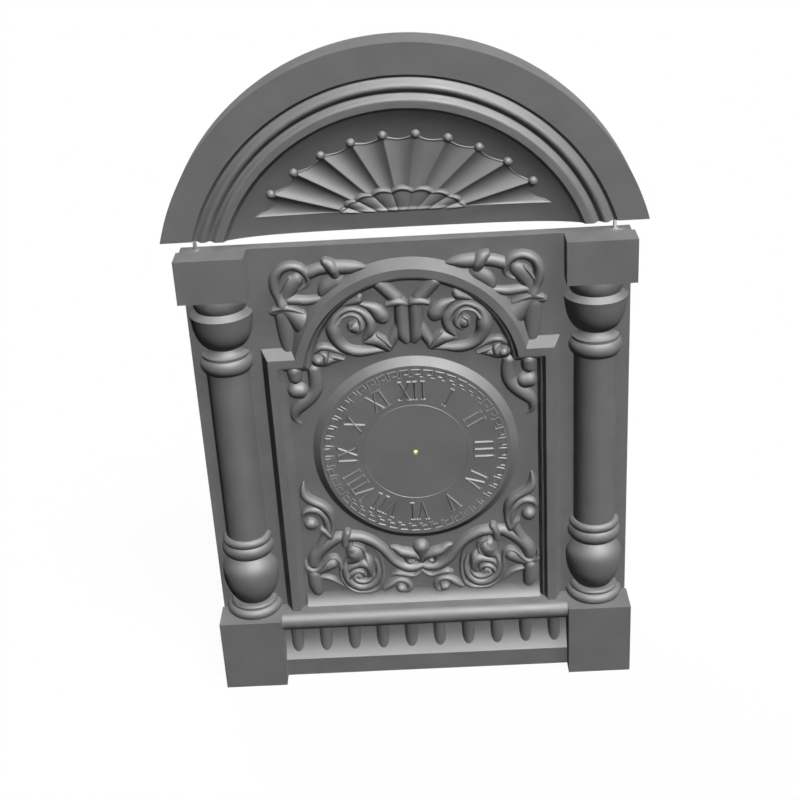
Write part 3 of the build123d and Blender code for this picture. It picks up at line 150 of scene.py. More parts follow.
# Lower scroll: trunk, cup, collared stem, branch, thin ring, spiral, lobe, tail, volute and acanthus
LOWER_SCROLL = RISING_LEAF + (
    Stem([(-75.6, 78, 5), (-75.4, 70, 5), (-74.4, 64.6, 4)], 5),
    Stem([(-80.6, 83, 1.8), (-76, 80.6, 2.8), (-70.6, 82.2, 3.6), (-65.4, 85.6, 5),
          (-62.4, 86.6, 4.4)], 4.8),
    Stem([(-81.2, 89.4, 0.7), (-80.4, 86.6, 1), (-78.4, 84.4, 1.1), (-75.4, 83.2, 1.2), (-72.2, 84.2, 1.2),
          (-69.6, 86.8, 1.2), (-66.8, 90.2, 1.2), (-63.6, 92.8, 1.2), (-60.4, 93.2, 1.2), (-58, 91.2, 1.2),
          (-56.8, 88, 1.1), (-56.4, 84, 1)], 1.4, 4.4),
    Stem([(-75, 88, 4.6), (-73.6, 93.4, 5), (-69.6, 98.6, 5), (-64, 103.4, 4.8), (-58, 107, 4.4),
          (-54.6, 108, 4)], 5.4),
    Stem([(-52.2, 103.6, 2.8), (-51.8, 108.4, 3), (-50.2, 112.2, 2.6)], 6.8),
    Stem([(-48.6, 108.6, 4.2), (-41, 107.6, 3.9), (-34.6, 104.4, 3.8), (-28.6, 99.4, 3.6), (-23.5, 93, 3.6),
          (-19.4, 87.4, 3.6), (-14.2, 83, 3.6), (-8.6, 81, 3.7), (-4, 81.2, 3.2), (0, 82.4, 2)], 6),
    Stem([(-56.4, 86, 0.9), (-57.4, 79, 1.1), (-56, 72.6, 1.2), (-52.6, 67, 1.2), (-47.4, 63.4, 1.3),
          (-41, 62.6, 1.4), (-34.6, 63.6, 1.6), (-29.8, 67.4, 1.8), (-27.8, 74, 1.5), (-27.4, 82, 1.1),
          (-28.6, 90, 1), (-31.8, 97, 1), (-36.6, 101.6, 0.9), (-42, 104, 0.8)], 4.6),
    Stem([(-52, 91, 0.5), (-53.6, 83, 2.6), (-53.2, 76.6, 3), (-50, 70.8, 3.4), (-44.6, 67.4, 3.6),
          (-38, 67.8, 3.6), (-33, 71.8, 3), (-30.8, 78, 2.2), (-31, 84, 1.4), (-32.6, 90, 0.4)], 6),
    Stem([(-51.8, 80.6, 2), (-48.8, 84.2, 2.6), (-44, 85.8, 3), (-39.6, 86.2, 4), (-36.8, 82.4, 3.4),
          (-36.4, 78.4, 2.4), (-38.4, 75.6, 1.2)], 6.4),
    Stem([(-38.4, 92.6, 0.8), (-37.2, 88.6, 2.8), (-37, 84.6, 3.4)], 6),
    Stem([(-51, 75.6, 1.6), (-48.6, 79.2, 1.9), (-45, 80.8, 1.7), (-41.8, 79.8, 1.6), (-40.6, 77.4, 1.4),
          (-41, 75.8, 1)], 5.6),
    Stem([(-46.2, 77, 1.4), (-47, 74.6, 2), (-44, 72.4, 2.2), (-39.6, 72, 2), (-36, 74, 1.6),
          (-34.4, 77.4, 1.2)], 6),
    Stem([(-44.4, 77.2, 1.4), (-44, 76, 1.6)], 5.4),
    Stem([(-47, 97.6, 4.8), (-45.8, 94.6, 6.6), (-47.4, 91, 4.8), (-51, 88.4, 2.4)], 7),
    Stem([(-46.6, 103, 0.8), (-42.6, 101.4, 1), (-40, 98.8, 1), (-39.4, 95.6, 1), (-40.6, 92.4, 1),
          (-43.6, 90.2, 0.8)], 1.4, 4.4),
    Stem([(-72.4, 76, 0.7), (-68, 76, 1.7), (-63.4, 74.4, 1.9), (-59.6, 71.4, 1.5),
          (-56, 67.8, 0.8)], 4.2),
    Stem([(-20.6, 75.6, 1.4), (-16.6, 76.4, 2.4), (-11, 75, 2), (-6.4, 74, 1.9), (-2.6, 75.6, 1.6),
          (0, 78, 1)], 4.2),
    Stem([(-27, 64.4, 2), (-23, 67.6, 2.8), (-18, 70.8, 2.3), (-13, 70.6, 2.2), (-9.8, 67.6, 2.1),
          (-9.6, 63.6, 2.1), (-12.4, 61.2, 1.4)], 5),
    Stem([(-15.8, 63.8, 3.2), (-14.8, 63.6, 3.2)], 5),
    Stem([(-20.8, 98, 1.2), (-17.6, 97, 2.2), (-14, 94, 3.6), (-9.6, 92.6, 4), (-5.4, 91, 3.4),
          (-2.4, 88.4, 2), (-1.4, 85, 1)], 5.4),
    Stem([(-10.6, 91, 2.6), (-10.4, 87.6, 1.8), (-8.4, 85.4, 1.5), (-6, 86.2, 1.3)], 5),
)

# Fleuron between the lower scrolls
FLEURON = (Stem([(0, 85, 1.4), (0, 91.6, 3.4), (0, 96.4, 5.6), (0, 97, 5.6)], 6),)

# Side leaf under the shoulder of the arch: leaf, block and eye
SIDE_LEAF = (
    Stem([(-63.6, 236, 4.4), (-63, 230, 4.8), (-63.6, 223, 4.8), (-67, 217.4, 5), (-73, 212.4, 5.4),
          (-77.6, 207.4, 4), (-78.8, 202.6, 2.8), (-77.4, 199, 1.6), (-75, 197.4, 0.7)], 4.8),
    Stem([(-76.6, 236.4, 5), (-76.4, 231.8, 4.8)], 5.4, 0, True),
    Stem([(-76.2, 222, 5.8), (-73.6, 221.6, 5.6)], 6),
)

# Arch of the pediment, turned about its centre
arch_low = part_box("pediment_arch")[0].z
arch_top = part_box("pediment_arch")[1].z
arch_r = 158.5
arch_deep = 26.5
arch_back = panel_face + arch_deep * mm
roll_proud = 3.6
arch_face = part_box("pediment_arch")[0].y + roll_proud * mm
tympanum_r = 119.1
turning_steps = 256

# Fan in the pediment: its ridges run from a focus to points on an arc, and its palmette's creases to an oval
fan_rise = 0.5
fan_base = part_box("fan_shell")[0].z / mm + fan_rise
fan_focus = 332.0
fan_arc_z = 276.0
fan_arc_r = 113.5
fan_tip_angle = 34.5
fan_flutes = 11
fan_sag = 3.6
fan_cut = 11
fan_edge_slope = 8
flute_ridge = 2.6
flute_hollow = 3.0
rim_rise = 0.5
rim_inset = 0.6
rim_w = 0.5
palmette_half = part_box("fan_palmette")[1].x / mm
palmette_h = 14.0
palmette_lobes = 9
palmette_sag = -1.6
palmette_cut = 6
lobe_ground = 2.4
lobe_rise = 1.5
lobe_root_share = 0.3
lobe_roll_rise = 0.9
lobe_roll_inset = 1.4
lobe_roll_w = 1.0
fan_points = [
    (fan_arc_r * cos(radians(angle)), fan_arc_z + fan_arc_r * sin(radians(angle)))
    for angle in np.linspace(fan_tip_angle, 180 - fan_tip_angle, fan_flutes + 1)
]
palmette_points = [
    (palmette_half * cos(angle), fan_base + palmette_h * sin(angle))
    for angle in np.linspace(0, pi, palmette_lobes + 1)
]

# Dial: places of the numerals and the key border, as radii about its centre
dial_z = (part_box("dial_plate")[0].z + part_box("dial_plate")[1].z) / 2 / mm
dial_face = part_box("dial_plate")[0].y
numeral_inner = 39.2
numeral_outer = 52.2
letter_advance = {"I": 5.3, "V": 8.4, "X": 8.4}
letter_half = 3.1
serif_half = 1.0
numeral_half = 0.8
numeral_rise = 1.1
key_inner = 55.4
key_outer = 60.8
key_cells = 48
key_half = 0.5
key_rise = 0.55
key_hook_share = 0.72
key_back_share = 0.36
key_turn_share = 0.36
ring_r = 35.25
ring_half = 0.3
hour_names = ("I", "II", "III", "IV", "V", "VI", "VII", "VIII", "IX", "X", "XI", "XII")

# Slip inside the dial's arched frame: its outer and inner outlines, and shares across it with heights
slip_centre = 230.1
slip_low, slip_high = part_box("frame_slip")
slip_shoulder = 242.35
slip_w = 4.8
slip_drop = 7
slip_arch_w = 5.9
slip_bends = 97
slip_outer = (slip_high.x / mm, slip_shoulder, slip_high.z / mm - slip_centre)
slip_inner = (slip_outer[0] - slip_w, slip_outer[1] - slip_drop, slip_outer[2] - slip_arch_w)
slip_section = ((0, 7.4), (0.38, 4.2), (0.56, 3.8), (1, 0), (1, -0.3), (0, -0.3), (0, 7.4))


class ClockFinish(bpy.types.PropertyGroup):
    """Colours and gloss of the clock's finishes."""

    paint: FloatVectorProperty(name="Paint", description="Colour of the painted wood", subtype="COLOR",
                               default=(0.138, 0.138, 0.138), min=0, max=1)
    paint_roughness: FloatProperty(name="Paint roughness", description="How matte the paint is", default=0.7,
                                   min=0, max=1, subtype="FACTOR")
    brass: FloatVectorProperty(name="Brass", description="Colour of the brass movement", subtype="COLOR",
                               default=(0.42, 0.31, 0.13), min=0, max=1)
    steel: FloatVectorProperty(name="Steel", description="Colour of the steel arbors and screws",
                               subtype="COLOR", default=(0.36, 0.37, 0.39), min=0, max=1)


class ClockCarving(bpy.types.PropertyGroup):
    """How finely the ornament is carved."""

    step: FloatProperty(name="Step", description="Distance between two cuts of the carving",
                        default=0.35 * mm, min=0.2 * mm, max=2 * mm, unit="LENGTH", precision=5)
    sink: FloatProperty(name="Sink", description="How far the carving's back is let into its ground",
                        default=0.3 * mm, min=0, max=2 * mm, unit="LENGTH", precision=5)
    passes: IntProperty(name="Sanding", description="Passes of sanding over the cuts",
                        default=1, min=0, max=10)


class ClockStage(bpy.types.PropertyGroup):
    """Lamps and floor around the clock."""

    key: FloatProperty(name="Key lamp", description="Strength of the lamp at the upper right",
                       default=3.1, min=0)
    gloss: FloatProperty(name="Gloss lamp", description="Strength of the lamp that only shows as gloss",
                         default=118, min=0)
    back: FloatProperty(name="Back lamp", description="Strength of the lamp behind the clock",
                        default=2.2, min=0)
    ambient: FloatProperty(name="Ambient", description="Strength of the light from all round",
                           default=0.01, min=0)
    floor: FloatProperty(name="Floor", description="Length of the floor's sides",
                         default=8, min=1, unit="LENGTH")


def deselect():
    """Leave nothing selected, so that the next operator acts on its own piece."""
    if bpy.context.mode != "OBJECT":
        bpy.ops.object.mode_set(mode="OBJECT")
    bpy.ops.object.select_all(action="DESELECT")


def named(name):
    """The piece that was just added, under its own name."""
    piece = bpy.context.object
    piece.name = name
    piece.data.name = name
    return piece


def close_piece(angle):
    """Turn the faces in edit mode outward, leave it, and smooth the edges under an angle."""
    bpy.ops.mesh.select_all(action="SELECT")
    bpy.ops.mesh.normals_make_consistent(inside=False)
    bpy.ops.object.mode_set(mode="OBJECT")
    bpy.ops.object.shade_smooth_by_angle(angle=radians(angle))


def ground_grid(name, low, high, step, y):
    """Upright grid of small square faces between two corners in X and Z, facing the viewer."""
    deselect()
    width, height = high[0] - low[0], high[1] - low[1]
    bpy.ops.mesh.primitive_grid_add(
        x_subdivisions=round(width / step), y_subdivisions=round(height / step), size=1,
        location=((low[0] + high[0]) / 2, y, (low[1] + high[1]) / 2), rotation=(pi / 2, 0, 0))
    piece = named(name)
    piece.scale = (width, height, 1)
    bpy.ops.object.transform_apply(location=True, rotation=True, scale=True)
    return piece


def grid_places(piece):
    """Places of a piece's vertices, as an array."""
    places = np.empty(3 * len(piece.data.vertices))
    piece.data.vertices.foreach_get("co", places)
    return places.reshape(-1, 3)


def raise_grid(piece, depth, cut, passes):
    """Push the grid's vertices to their depths, sand it, and cut it off flat at its back."""
    places = grid_places(piece)
    places[:, 1] = depth
    piece.data.vertices.foreach_set("co", places.ravel())
    piece.data.update()
    if passes:
        bpy.ops.object.modifier_add(type="SMOOTH")
        piece.modifiers[-1].iterations = passes
        bpy.ops.object.modifier_apply(modifier=piece.modifiers[-1].name)
    bpy.ops.object.mode_set(mode="EDIT")
    bpy.ops.mesh.select_all(action="SELECT")
    bpy.ops.mesh.bisect(plane_co=(0, cut, 0), plane_no=(0, 1, 0), use_fill=True, clear_outer=True)
    close_piece(carved_angle)


def smooth_route(places, parts=6):
    """Places along a smooth curve through the given ones."""
    points = np.array(places, float)
    padded = np.vstack([2 * points[0] - points[1], points, 2 * points[-1] - points[-2]])
    route = []
    for before, start, end, after in zip(padded, padded[1:], padded[2:], padded[3:]):
        for part in range(parts):
            t = part / parts
            bend = (2 * before - 5 * start + 4 * end - after) * t * t
            twist = (3 * start - before - 3 * end + after) * t**3
            route.append(0.5 * (2 * start + (end - before) * t + bend + twist))
    route.append(points[-1])
    return np.array(route)


def stem_height(x, z, stem):
    """Height of one stem over the ground at each place, below zero outside it."""
    route = smooth_route(stem.places)
    route[:, 2] = np.maximum(route[:, 2], thinnest_half)
    widest = route[:, 2].max()
    inside = np.full(x.shape, off_stem)
    width = np.full(x.shape, widest)
    last = len(route) - 2
    for number, ((x0, z0, w0), (x1, z1, w1)) in enumerate(zip(route, route[1:])):
        run = hypot(x1 - x0, z1 - z0)
        along = ((x - x0) * (x1 - x0) + (z - z0) * (z1 - z0)) / run**2
        share = np.clip(along, 0, 1)
        off = np.hypot(x - x0 - share * (x1 - x0), z - z0 - share * (z1 - z0))
        half = w0 + share * (w1 - w0)
        found = 1 - (off / half) ** 2
        if stem.square_start and number == 0:
            found = np.where(along < 0, off_stem, found)
        if stem.square_end and number == last:
            found = np.where(along > 1, off_stem, found)
        width = np.where(found > inside, half, width)
        inside = np.maximum(found, inside)
    crown = stem.crown * np.sqrt(width / widest)
    fall = np.minimum(crown, deepest_fall_share * width) * (1 - np.sqrt(np.maximum(inside, 0)))
    return np.where(inside > 0, stem.lift + crown - fall, np.maximum(ground_slope * inside, -ground_depth))


def carve(name, stems, hand, carving):
    """Carve stems as one piece, on the left for hand 1, on the right for -1, and not past the middle."""
    step = carving.step / mm
    reach = np.array([(x - half, x + half, z - half, z + half)
                      for stem in stems for x, z, half in stem.places])
    low_x, high_x = reach[:, 0].min() - ground_margin, reach[:, 1].max() + ground_margin
    low_z, high_z = reach[:, 2].min() - ground_margin, reach[:, 3].max() + ground_margin
    if low_x < -high_x:
        high_x = min(high_x, ground_margin)
    sides = sorted((hand * low_x, hand * high_x))
    low, high = (sides[0] * mm, low_z * mm), (sides[1] * mm, high_z * mm)
    piece = ground_grid(name, low, high, carving.step, panel_face)
    places = grid_places(piece) / mm
    x, z = hand * places[:, 0], places[:, 2]
    height = np.full(x.shape, -ground_depth)
    for stem in stems:
        route = np.array(stem.places)
        margin = route[:, 2].max() + 3 * step + ground_margin
        near = ((x > route[:, 0].min() - margin) & (x < route[:, 0].max() + margin)
                & (z > route[:, 1].min() - margin) & (z < route[:, 1].max() + margin))
        height[near] = np.maximum(height[near], stem_height(x[near], z[near], stem))
    raise_grid(piece, panel_face - height * mm, panel_face + carving.sink, carving.passes)
    return piece


def fan_shares(x, z, points, sag):
    """Bow across each flute of a fan, share of its length, and distance inside its scalloped edge."""
    angles = [atan2(tip_z - fan_focus, tip_x) for tip_x, tip_z in points]
    reaches = [hypot(tip_x, tip_z - fan_focus) for tip_x, tip_z in points]
    angle, reach = np.arctan2(z - fan_focus, x), np.hypot(x, z - fan_focus)
    flute = np.clip(np.searchsorted(angles, angle) - 1, 0, len(points) - 2)
    across = np.clip((angle - np.take(angles, flute)) / np.take(np.diff(angles), flute), 0, 1)
    bow = 4 * across * (1 - across)
    edge = np.take(reaches, flute) + across * np.take(np.diff(reaches), flute) - sag * bow
    return bow, reach / edge, np.minimum(edge - reach, z - fan_base)


def carve_fan(name, points, sag, cut, carving, shape):
    """Carve a fan whose depth behind the arch comes from its shares, falling away steeply at its edge."""
    reach = np.array(points)
    low = (reach[:, 0].min() - ground_margin) * mm, (fan_base - ground_margin) * mm
    high = (reach[:, 0].max() + ground_margin) * mm, (reach[:, 1].max() + 2 * ground_margin) * mm
    piece = ground_grid(name, low, high, carving.step, arch_face)
    places = grid_places(piece) / mm
    bow, share, inside = fan_shares(places[:, 0], places[:, 2], points, sag)
    depth = shape(bow, share, inside) + fan_edge_slope * np.maximum(-inside, 0)
    raise_grid(piece, arch_face + depth * mm, arch_face + cut * mm, 1)
    return piece


def flute_depth(bow, share, inside):
    """Hollow flutes between sharp ridges, with a thin raised rim."""
    rim = rim_rise * np.exp(-((inside - rim_inset) / rim_w) ** 2)
    return flute_ridge + flute_hollow * bow * share - rim


def lobe_depth(bow, share, inside):
    """Round lobes with rolled edges."""
    roll = lobe_roll_rise * np.exp(-((inside - lobe_roll_inset) / lobe_roll_w) ** 2)
    return lobe_ground - lobe_rise * np.sqrt(bow) * np.minimum(share + lobe_root_share, 1) - roll


def letter_strokes(letter):
    """Strokes of one letter from its middle, as pairs of places across and along the radius."""
    if letter == "I":
        strokes = [((0, numeral_inner), (0, numeral_outer))]
    elif letter == "V":
        strokes = [((0, numeral_inner), (side * letter_half, numeral_outer)) for side in (-1, 1)]
    else:
        strokes = [((-side * letter_half, numeral_inner), (side * letter_half, numeral_outer))
                   for side in (-1, 1)]
    ends = {end for stroke in strokes for end in stroke if letter != "V" or end[1] == numeral_outer}
    return strokes + [((x - serif_half, radius), (x + serif_half, radius)) for x, radius in sorted(ends)]


def numeral_strokes(name):
    """Strokes of one numeral, centred on its radius with the tops outward."""
    x = -sum(letter_advance[letter] for letter in name) / 2
    for letter in name:
        middle = x + letter_advance[letter] / 2
        yield from (((middle + x0, r0), (middle + x1, r1)) for (x0, r0), (x1, r1) in letter_strokes(letter))
        x += letter_advance[letter]


def key_strokes():
    """Strokes of one cell of the key border: riser, top bar, drop, return and base bar."""
    cell = pi * (key_inner + key_outer) / key_cells
    hook, back = key_hook_share * cell, key_back_share * cell
    turn = key_inner + key_turn_share * (key_outer - key_inner)
    route = [(0, key_inner), (0, key_outer), (hook, key_outer), (hook, turn), (hook - back, turn)]
    return [*zip(route, route[1:]), ((hook, key_inner), (cell, key_inner))]


def add_strokes(strokes, turn, half_width, rise):
    """Add ridged bars to the mesh in edit mode, turned clockwise about the dial's centre."""
    for (x0, r0), (x1, r1) in strokes:
        x, z = (x0 + x1) / 2, (r0 + r1) / 2
        across, up = x * cos(turn) + z * sin(turn), z * cos(turn) - x * sin(turn)
        bpy.ops.mesh.primitive_cylinder_add(
            vertices=4, radius=mm, depth=mm, rotation=(0, turn + atan2(x1 - x0, r1 - r0), 0),
            location=(across * mm, dial_face, (dial_z + up) * mm),
            scale=(half_width, rise, hypot(x1 - x0, r1 - r0) + half_width))


def empty_piece(name):
    """Start a piece at the origin in edit mode."""
    deselect()
    bpy.ops.object.add(type="MESH")
    piece = named(name)
    bpy.ops.object.mode_set(mode="EDIT")
    return piece


def arch_profile():
    """Section of the pediment's arch from its outer edge inwards, as radii and depths behind its face."""
    back = (arch_back - arch_face) / mm
    band = [(arch_r, back), (arch_r, 0), (139.9, 0), (139.5, 0)]
    ogee = [(138.9, 0.9), (138.2, 1.9), (137.4, 2.4), (136.6, 2), (135.8, 1.1), (135.1, 0.1), (134.4, -0.9),
            (133.7, -1.7), (132.9, -2.1), (132.1, -2.2), (131.2, -2), (130.4, -1.4), (129.8, -0.7), (129.2, 0.2)]
    bead = [(128.6, 0.6), (127.9, 0.4), (127.2, -0.3), (126.6, -1.2), (126, -2.1), (125.5, -2.7), (124.9, -3)]
    lip = [(124.4, -3.1), (123.8, -3.1), (120.6, -3.1), (120.2, -3.1), (117.2, 1), (117.2, back)]
    return band + ogee + bead + lip


def dish_profile():
    """Section of the hollowed tympanum from its centre outwards."""
    back = (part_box("tympanum")[1].y - arch_face) / mm
    hollow = [(0, 9.2), (50, 8.9), (70, 8.4), (85, 7.5), (93, 6.7), (101, 5.4), (107, 4), (113, 2.1), (116, 0.9)]
    return [*hollow, (tympanum_r, -0.4), (tympanum_r, back), (0, back)]


def turned(name, profile):
    """Turn a section about the arch's centre, and cut it off level at its foot."""
    piece = empty_piece(name)
    bpy.ops.mesh.primitive_circle_add(vertices=len(profile), radius=1)
    bpy.ops.object.mode_set(mode="OBJECT")
    places = [(radius * mm, arch_face + depth * mm, 0) for radius, depth in profile]
    piece.data.vertices.foreach_set("co", np.array(places).ravel())
    bpy.ops.object.modifier_add(type="SCREW")
    screw = piece.modifiers[-1]
    screw.axis = "Y"
    screw.steps = screw.render_steps = turning_steps
    screw.use_merge_vertices = True
    bpy.ops.object.modifier_apply(modifier=screw.name)
    bpy.ops.object.mode_set(mode="EDIT")
    bpy.ops.mesh.select_all(action="SELECT")
    bpy.ops.mesh.remove_doubles(threshold=0.001 * mm)
    bpy.ops.transform.translate(value=(0, 0, arch_top - arch_r * mm))
    bpy.ops.mesh.bisect(plane_co=(0, 0, arch_low), plane_no=(0, 0, 1), use_fill=True, clear_inner=True)
    close_piece(turned_angle)
    return piece


def slip_route(share):
    """Places along the slip's outline at a share of its width: stile, shoulder, arch, shoulder and stile."""
    half, shoulder, radius = (outer + share * (inner - outer) for outer, inner in zip(slip_outer, slip_inner))
    start = asin((shoulder - slip_centre) / radius)
    turns = np.linspace(start, pi - start, slip_bends)
    arc = [(radius * cos(turn), slip_centre + radius * sin(turn)) for turn in turns]
    return [(half, slip_low.z / mm), (half, shoulder), *arc, (-half, shoulder), (-half, slip_low.z / mm)]


def sloped_slip(name):
    """Bend a grid along the slip's outline, closed about its section and at its two feet."""
    rows = [[(x * mm, panel_face - height * mm, z * mm) for x, z in slip_route(share)]
            for share, height in slip_section]
    deselect()
    bpy.ops.mesh.primitive_grid_add(x_subdivisions=len(rows[0]) - 1, y_subdivisions=len(rows) - 1, size=1)
    piece = named(name)
    flat = grid_places(piece) + 0.5
    columns, lines = np.rint(flat[:, 0] * (len(rows[0]) - 1)), np.rint(flat[:, 1] * (len(rows) - 1))
    places = [rows[int(line)][int(column)] for column, line in zip(columns, lines)]
    piece.data.vertices.foreach_set("co", np.array(places).ravel())
    bpy.ops.object.mode_set(mode="EDIT")
    bpy.ops.mesh.select_all(action="SELECT")
    bpy.ops.mesh.remove_doubles(threshold=0.001 * mm)
    bpy.ops.mesh.select_mode(type="EDGE")
    bpy.ops.mesh.select_all(action="DESELECT")
    bpy.ops.mesh.select_non_manifold()
    bpy.ops.mesh.fill_holes(sides=0)
    close_piece(slip_angle)
    return piece


def seat(piece, body, material, slot, *nodes):
    """Give a finished piece its material, and let it stand for its node on a body."""
    deselect()
    piece.data.materials.clear()
    piece.data.materials.append(material)
    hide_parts(*nodes)
    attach(piece, body)


def new_material(name):
    """Node material with its nodes, links and shader, or the material alone if it is made already."""
    material = bpy.data.materials.get(name)
    if material:
        return material, None, None, None
    material = bpy.data.materials.new(name)
    material.use_nodes = True
    nodes, links = material.node_tree.nodes, material.node_tree.links
    return material, nodes, links, nodes["Principled BSDF"]


def noise_on(nodes, links, stretch, scale, detail):
    """Noise over the piece's own coordinates, stretched along its axes."""
    place = nodes.new("ShaderNodeTexCoord")
    turn = nodes.new("ShaderNodeMapping")
    turn.inputs["Scale"].default_value = stretch
    noise = nodes.new("ShaderNodeTexNoise")
    noise.inputs["Scale"].default_value = scale
    noise.inputs["Detail"].default_value = detail
    links.new(place.outputs["Object"], turn.inputs["Vector"])
    links.new(turn.outputs["Vector"], noise.inputs["Vector"])
    return noise


def ranged(nodes, links, source, low, high):
    """A noise spread between two values."""
    spread = nodes.new("ShaderNodeMapRange")
    spread.inputs["From Min"].default_value = 0.3
    spread.inputs["From Max"].default_value = 0.7
    spread.inputs["To Min"].default_value = low
    spread.inputs["To Max"].default_value = high
    links.new(source.outputs["Fac"], spread.inputs["Value"])
    return spread.outputs["Result"]


def shaded(nodes, links, source, dark, light):
    """A noise as a colour between a darker and a lighter one."""
    ramp = nodes.new("ShaderNodeValToRGB")
    ramp.color_ramp.elements[0].position = 0.3
    ramp.color_ramp.elements[0].color = (*dark, 1)
    ramp.color_ramp.elements[1].position = 0.7
    ramp.color_ramp.elements[1].color = (*light, 1)
    links.new(source.outputs["Fac"], ramp.inputs["Fac"])
    return ramp.outputs["Color"]


def bumped(nodes, links, source, strength, distance):
    """A noise as a bump of the surface."""
    bump = nodes.new("ShaderNodeBump")
    bump.inputs["Strength"].default_value = strength
    bump.inputs["Distance"].default_value = distance
    links.new(source.outputs["Fac"], bump.inputs["Height"])
    return bump.outputs["Normal"]


def grey_paint(finish):
    """Matte grey paint with faint mottling and brush marks."""
    material, nodes, links, shader = new_material("grey_paint")
    if nodes is None:
        return material
    colour = np.array(finish.paint)
    mottle = noise_on(nodes, links, (1, 1, 1), 60, 4)
    brush = noise_on(nodes, links, (1, 1, 0.15), 900, 3)
    rough = finish.paint_roughness
    links.new(shaded(nodes, links, mottle, colour * 0.95, colour * 1.05), shader.inputs["Base Color"])
    links.new(ranged(nodes, links, mottle, rough - 0.04, rough + 0.04), shader.inputs["Roughness"])
    links.new(bumped(nodes, links, brush, 0.08, 0.05 * mm), shader.inputs["Normal"])
    shader.inputs["Specular IOR Level"].default_value = 0
    shader.inputs["Specular Tint"].default_value = (0, 0, 0, 1)
    shader.inputs["Metallic"].default_value = 0.08
    return material


def metal(name, colour, roughness, stretch):
    """Worked metal with fine scratches and a little tarnish."""
    material, nodes, links, shader = new_material(name)
    if nodes is None:
        return material
    colour = np.array(colour)
    tarnish = noise_on(nodes, links, (1, 1, 1), 80, 5)
    scratch = noise_on(nodes, links, stretch, 1500, 2)
    shader.inputs["Metallic"].default_value = 1
    links.new(shaded(nodes, links, tarnish, colour * 0.78, colour * 1.06), shader.inputs["Base Color"])
    links.new(ranged(nodes, links, tarnish, roughness - 0.06, roughness + 0.1), shader.inputs["Roughness"])
    links.new(bumped(nodes, links, scratch, 0.1, 0.03 * mm), shader.inputs["Normal"])
    return material


def finish_nodes(slots, material):
    """Give a material to every node of the given slots."""
    for subpart in frame["record"]["subparts"]:
        if subpart["material_slot"] in slots:
            node = frame["nodes"][subpart["node"]]
            node.data.materials.clear()
            node.data.materials.append(material)


def both_sides(context, stems, piece_name, node_name):
    """Carve an ornament on the left and on the right of the panel, for a node on each side or one for both."""
    for side, hand in (("left", 1), ("right", -1)):
        piece = carve(f"{piece_name}_{side}", stems, hand, context.scene.clock_carving)
        seat(piece, "case", grey_paint(context.scene.clock_finish), "painted_wood", node_name.format(side=side))
    return {"FINISHED"}


def seen_rays(nodes, links):
    """Marks the rays that show the background: straight from the camera, mirrored or through glass."""
    path = nodes.new("ShaderNodeLightPath")
    mirrored = nodes.new("ShaderNodeMath")
    mirrored.operation = "MAXIMUM"
    seen = nodes.new("ShaderNodeMath")
    seen.operation = "MAXIMUM"
    links.new(path.outputs["Is Camera Ray"], mirrored.inputs[0])
    links.new(path.outputs["Is Glossy Ray"], mirrored.inputs[1])
    links.new(mirrored.outputs[0], seen.inputs[0])
    links.new(path.outputs["Is Transmission Ray"], seen.inputs[1])
    return seen.outputs[0]


def floor_material():
    """Floor that shows as white and keeps a light shadow."""
    material, nodes, links, shader = new_material("pale_floor")
    shader.inputs["Base Color"].default_value = (0.07, 0.07, 0.07, 1)
    shader.inputs["Roughness"].default_value = 0.9
    shader.inputs["Specular IOR Level"].default_value = 0
    shader.inputs["Emission Color"].default_value = (0.93, 0.93, 0.93, 1)
    links.new(seen_rays(nodes, links), shader.inputs["Emission Strength"])
    return material


def sky(ambient):
    """Soft light from all round, with a white background."""
    world = bpy.data.worlds.new("studio")
    bpy.context.scene.world = world
    world.use_nodes = True
    nodes, links = world.node_tree.nodes, world.node_tree.links
    soft = nodes["Background"]
    soft.inputs["Strength"].default_value = ambient
    soft.inputs["Color"].default_value = (1, 1, 1, 1)
    white = nodes.new("ShaderNodeBackground")
    white.inputs["Color"].default_value = (1, 1, 1, 1)
    mix = nodes.new("ShaderNodeMixShader")
    links.new(seen_rays(nodes, links), mix.inputs["Fac"])
    links.new(soft.outputs["Background"], mix.inputs[1])
    links.new(white.outputs["Background"], mix.inputs[2])
    links.new(mix.outputs["Shader"], nodes["World Output"].inputs["Surface"])


def lamp(name, strength, towards, spread):
    """Distant lamp that shines from a direction."""
    bpy.ops.object.light_add(type="SUN")
    sun = bpy.context.object
    sun.name = name
    sun.data.energy = strength
    sun.data.angle = radians(spread)
    direction = Vector(towards)
    sun.rotation_euler = direction.to_track_quat("Z", "Y").to_euler()
    return sun


def place_camera():
    """Camera at the photograph's angle."""
    bpy.ops.object.camera_add(location=camera_at, rotation=camera_turn)
    camera = bpy.context.object
    camera.name = "camera"
    camera.data.lens = camera_lens
    camera.data.sensor_width = camera_sensor
    camera.data.clip_start = camera_near
    bpy.context.scene.camera = camera


class CLOCK_OT_finish_woodwork(bpy.types.Operator):
    """Paint the panel, the columns, the mouldings and the case"""

    bl_idname = "clock.finish_woodwork"
    bl_label = "Paint Woodwork"

    def execute(self, context):
        finish_nodes(("painted_wood", "dial_paint"), grey_paint(context.scene.clock_finish))
        return {"FINISHED"}


class CLOCK_OT_finish_movement(bpy.types.Operator):
    """Finish the brass and the steel of the movement and the fittings"""

    bl_idname = "clock.finish_movement"
    bl_label = "Finish Movement"

    def execute(self, context):
        finish = context.scene.clock_finish
        finish_nodes(("brass",), metal("worked_brass", finish.brass, 0.38, (1, 1, 0.05)))
        finish_nodes(("steel",), metal("bright_steel", finish.steel, 0.26, (1, 0.05, 1)))
        return {"FINISHED"}


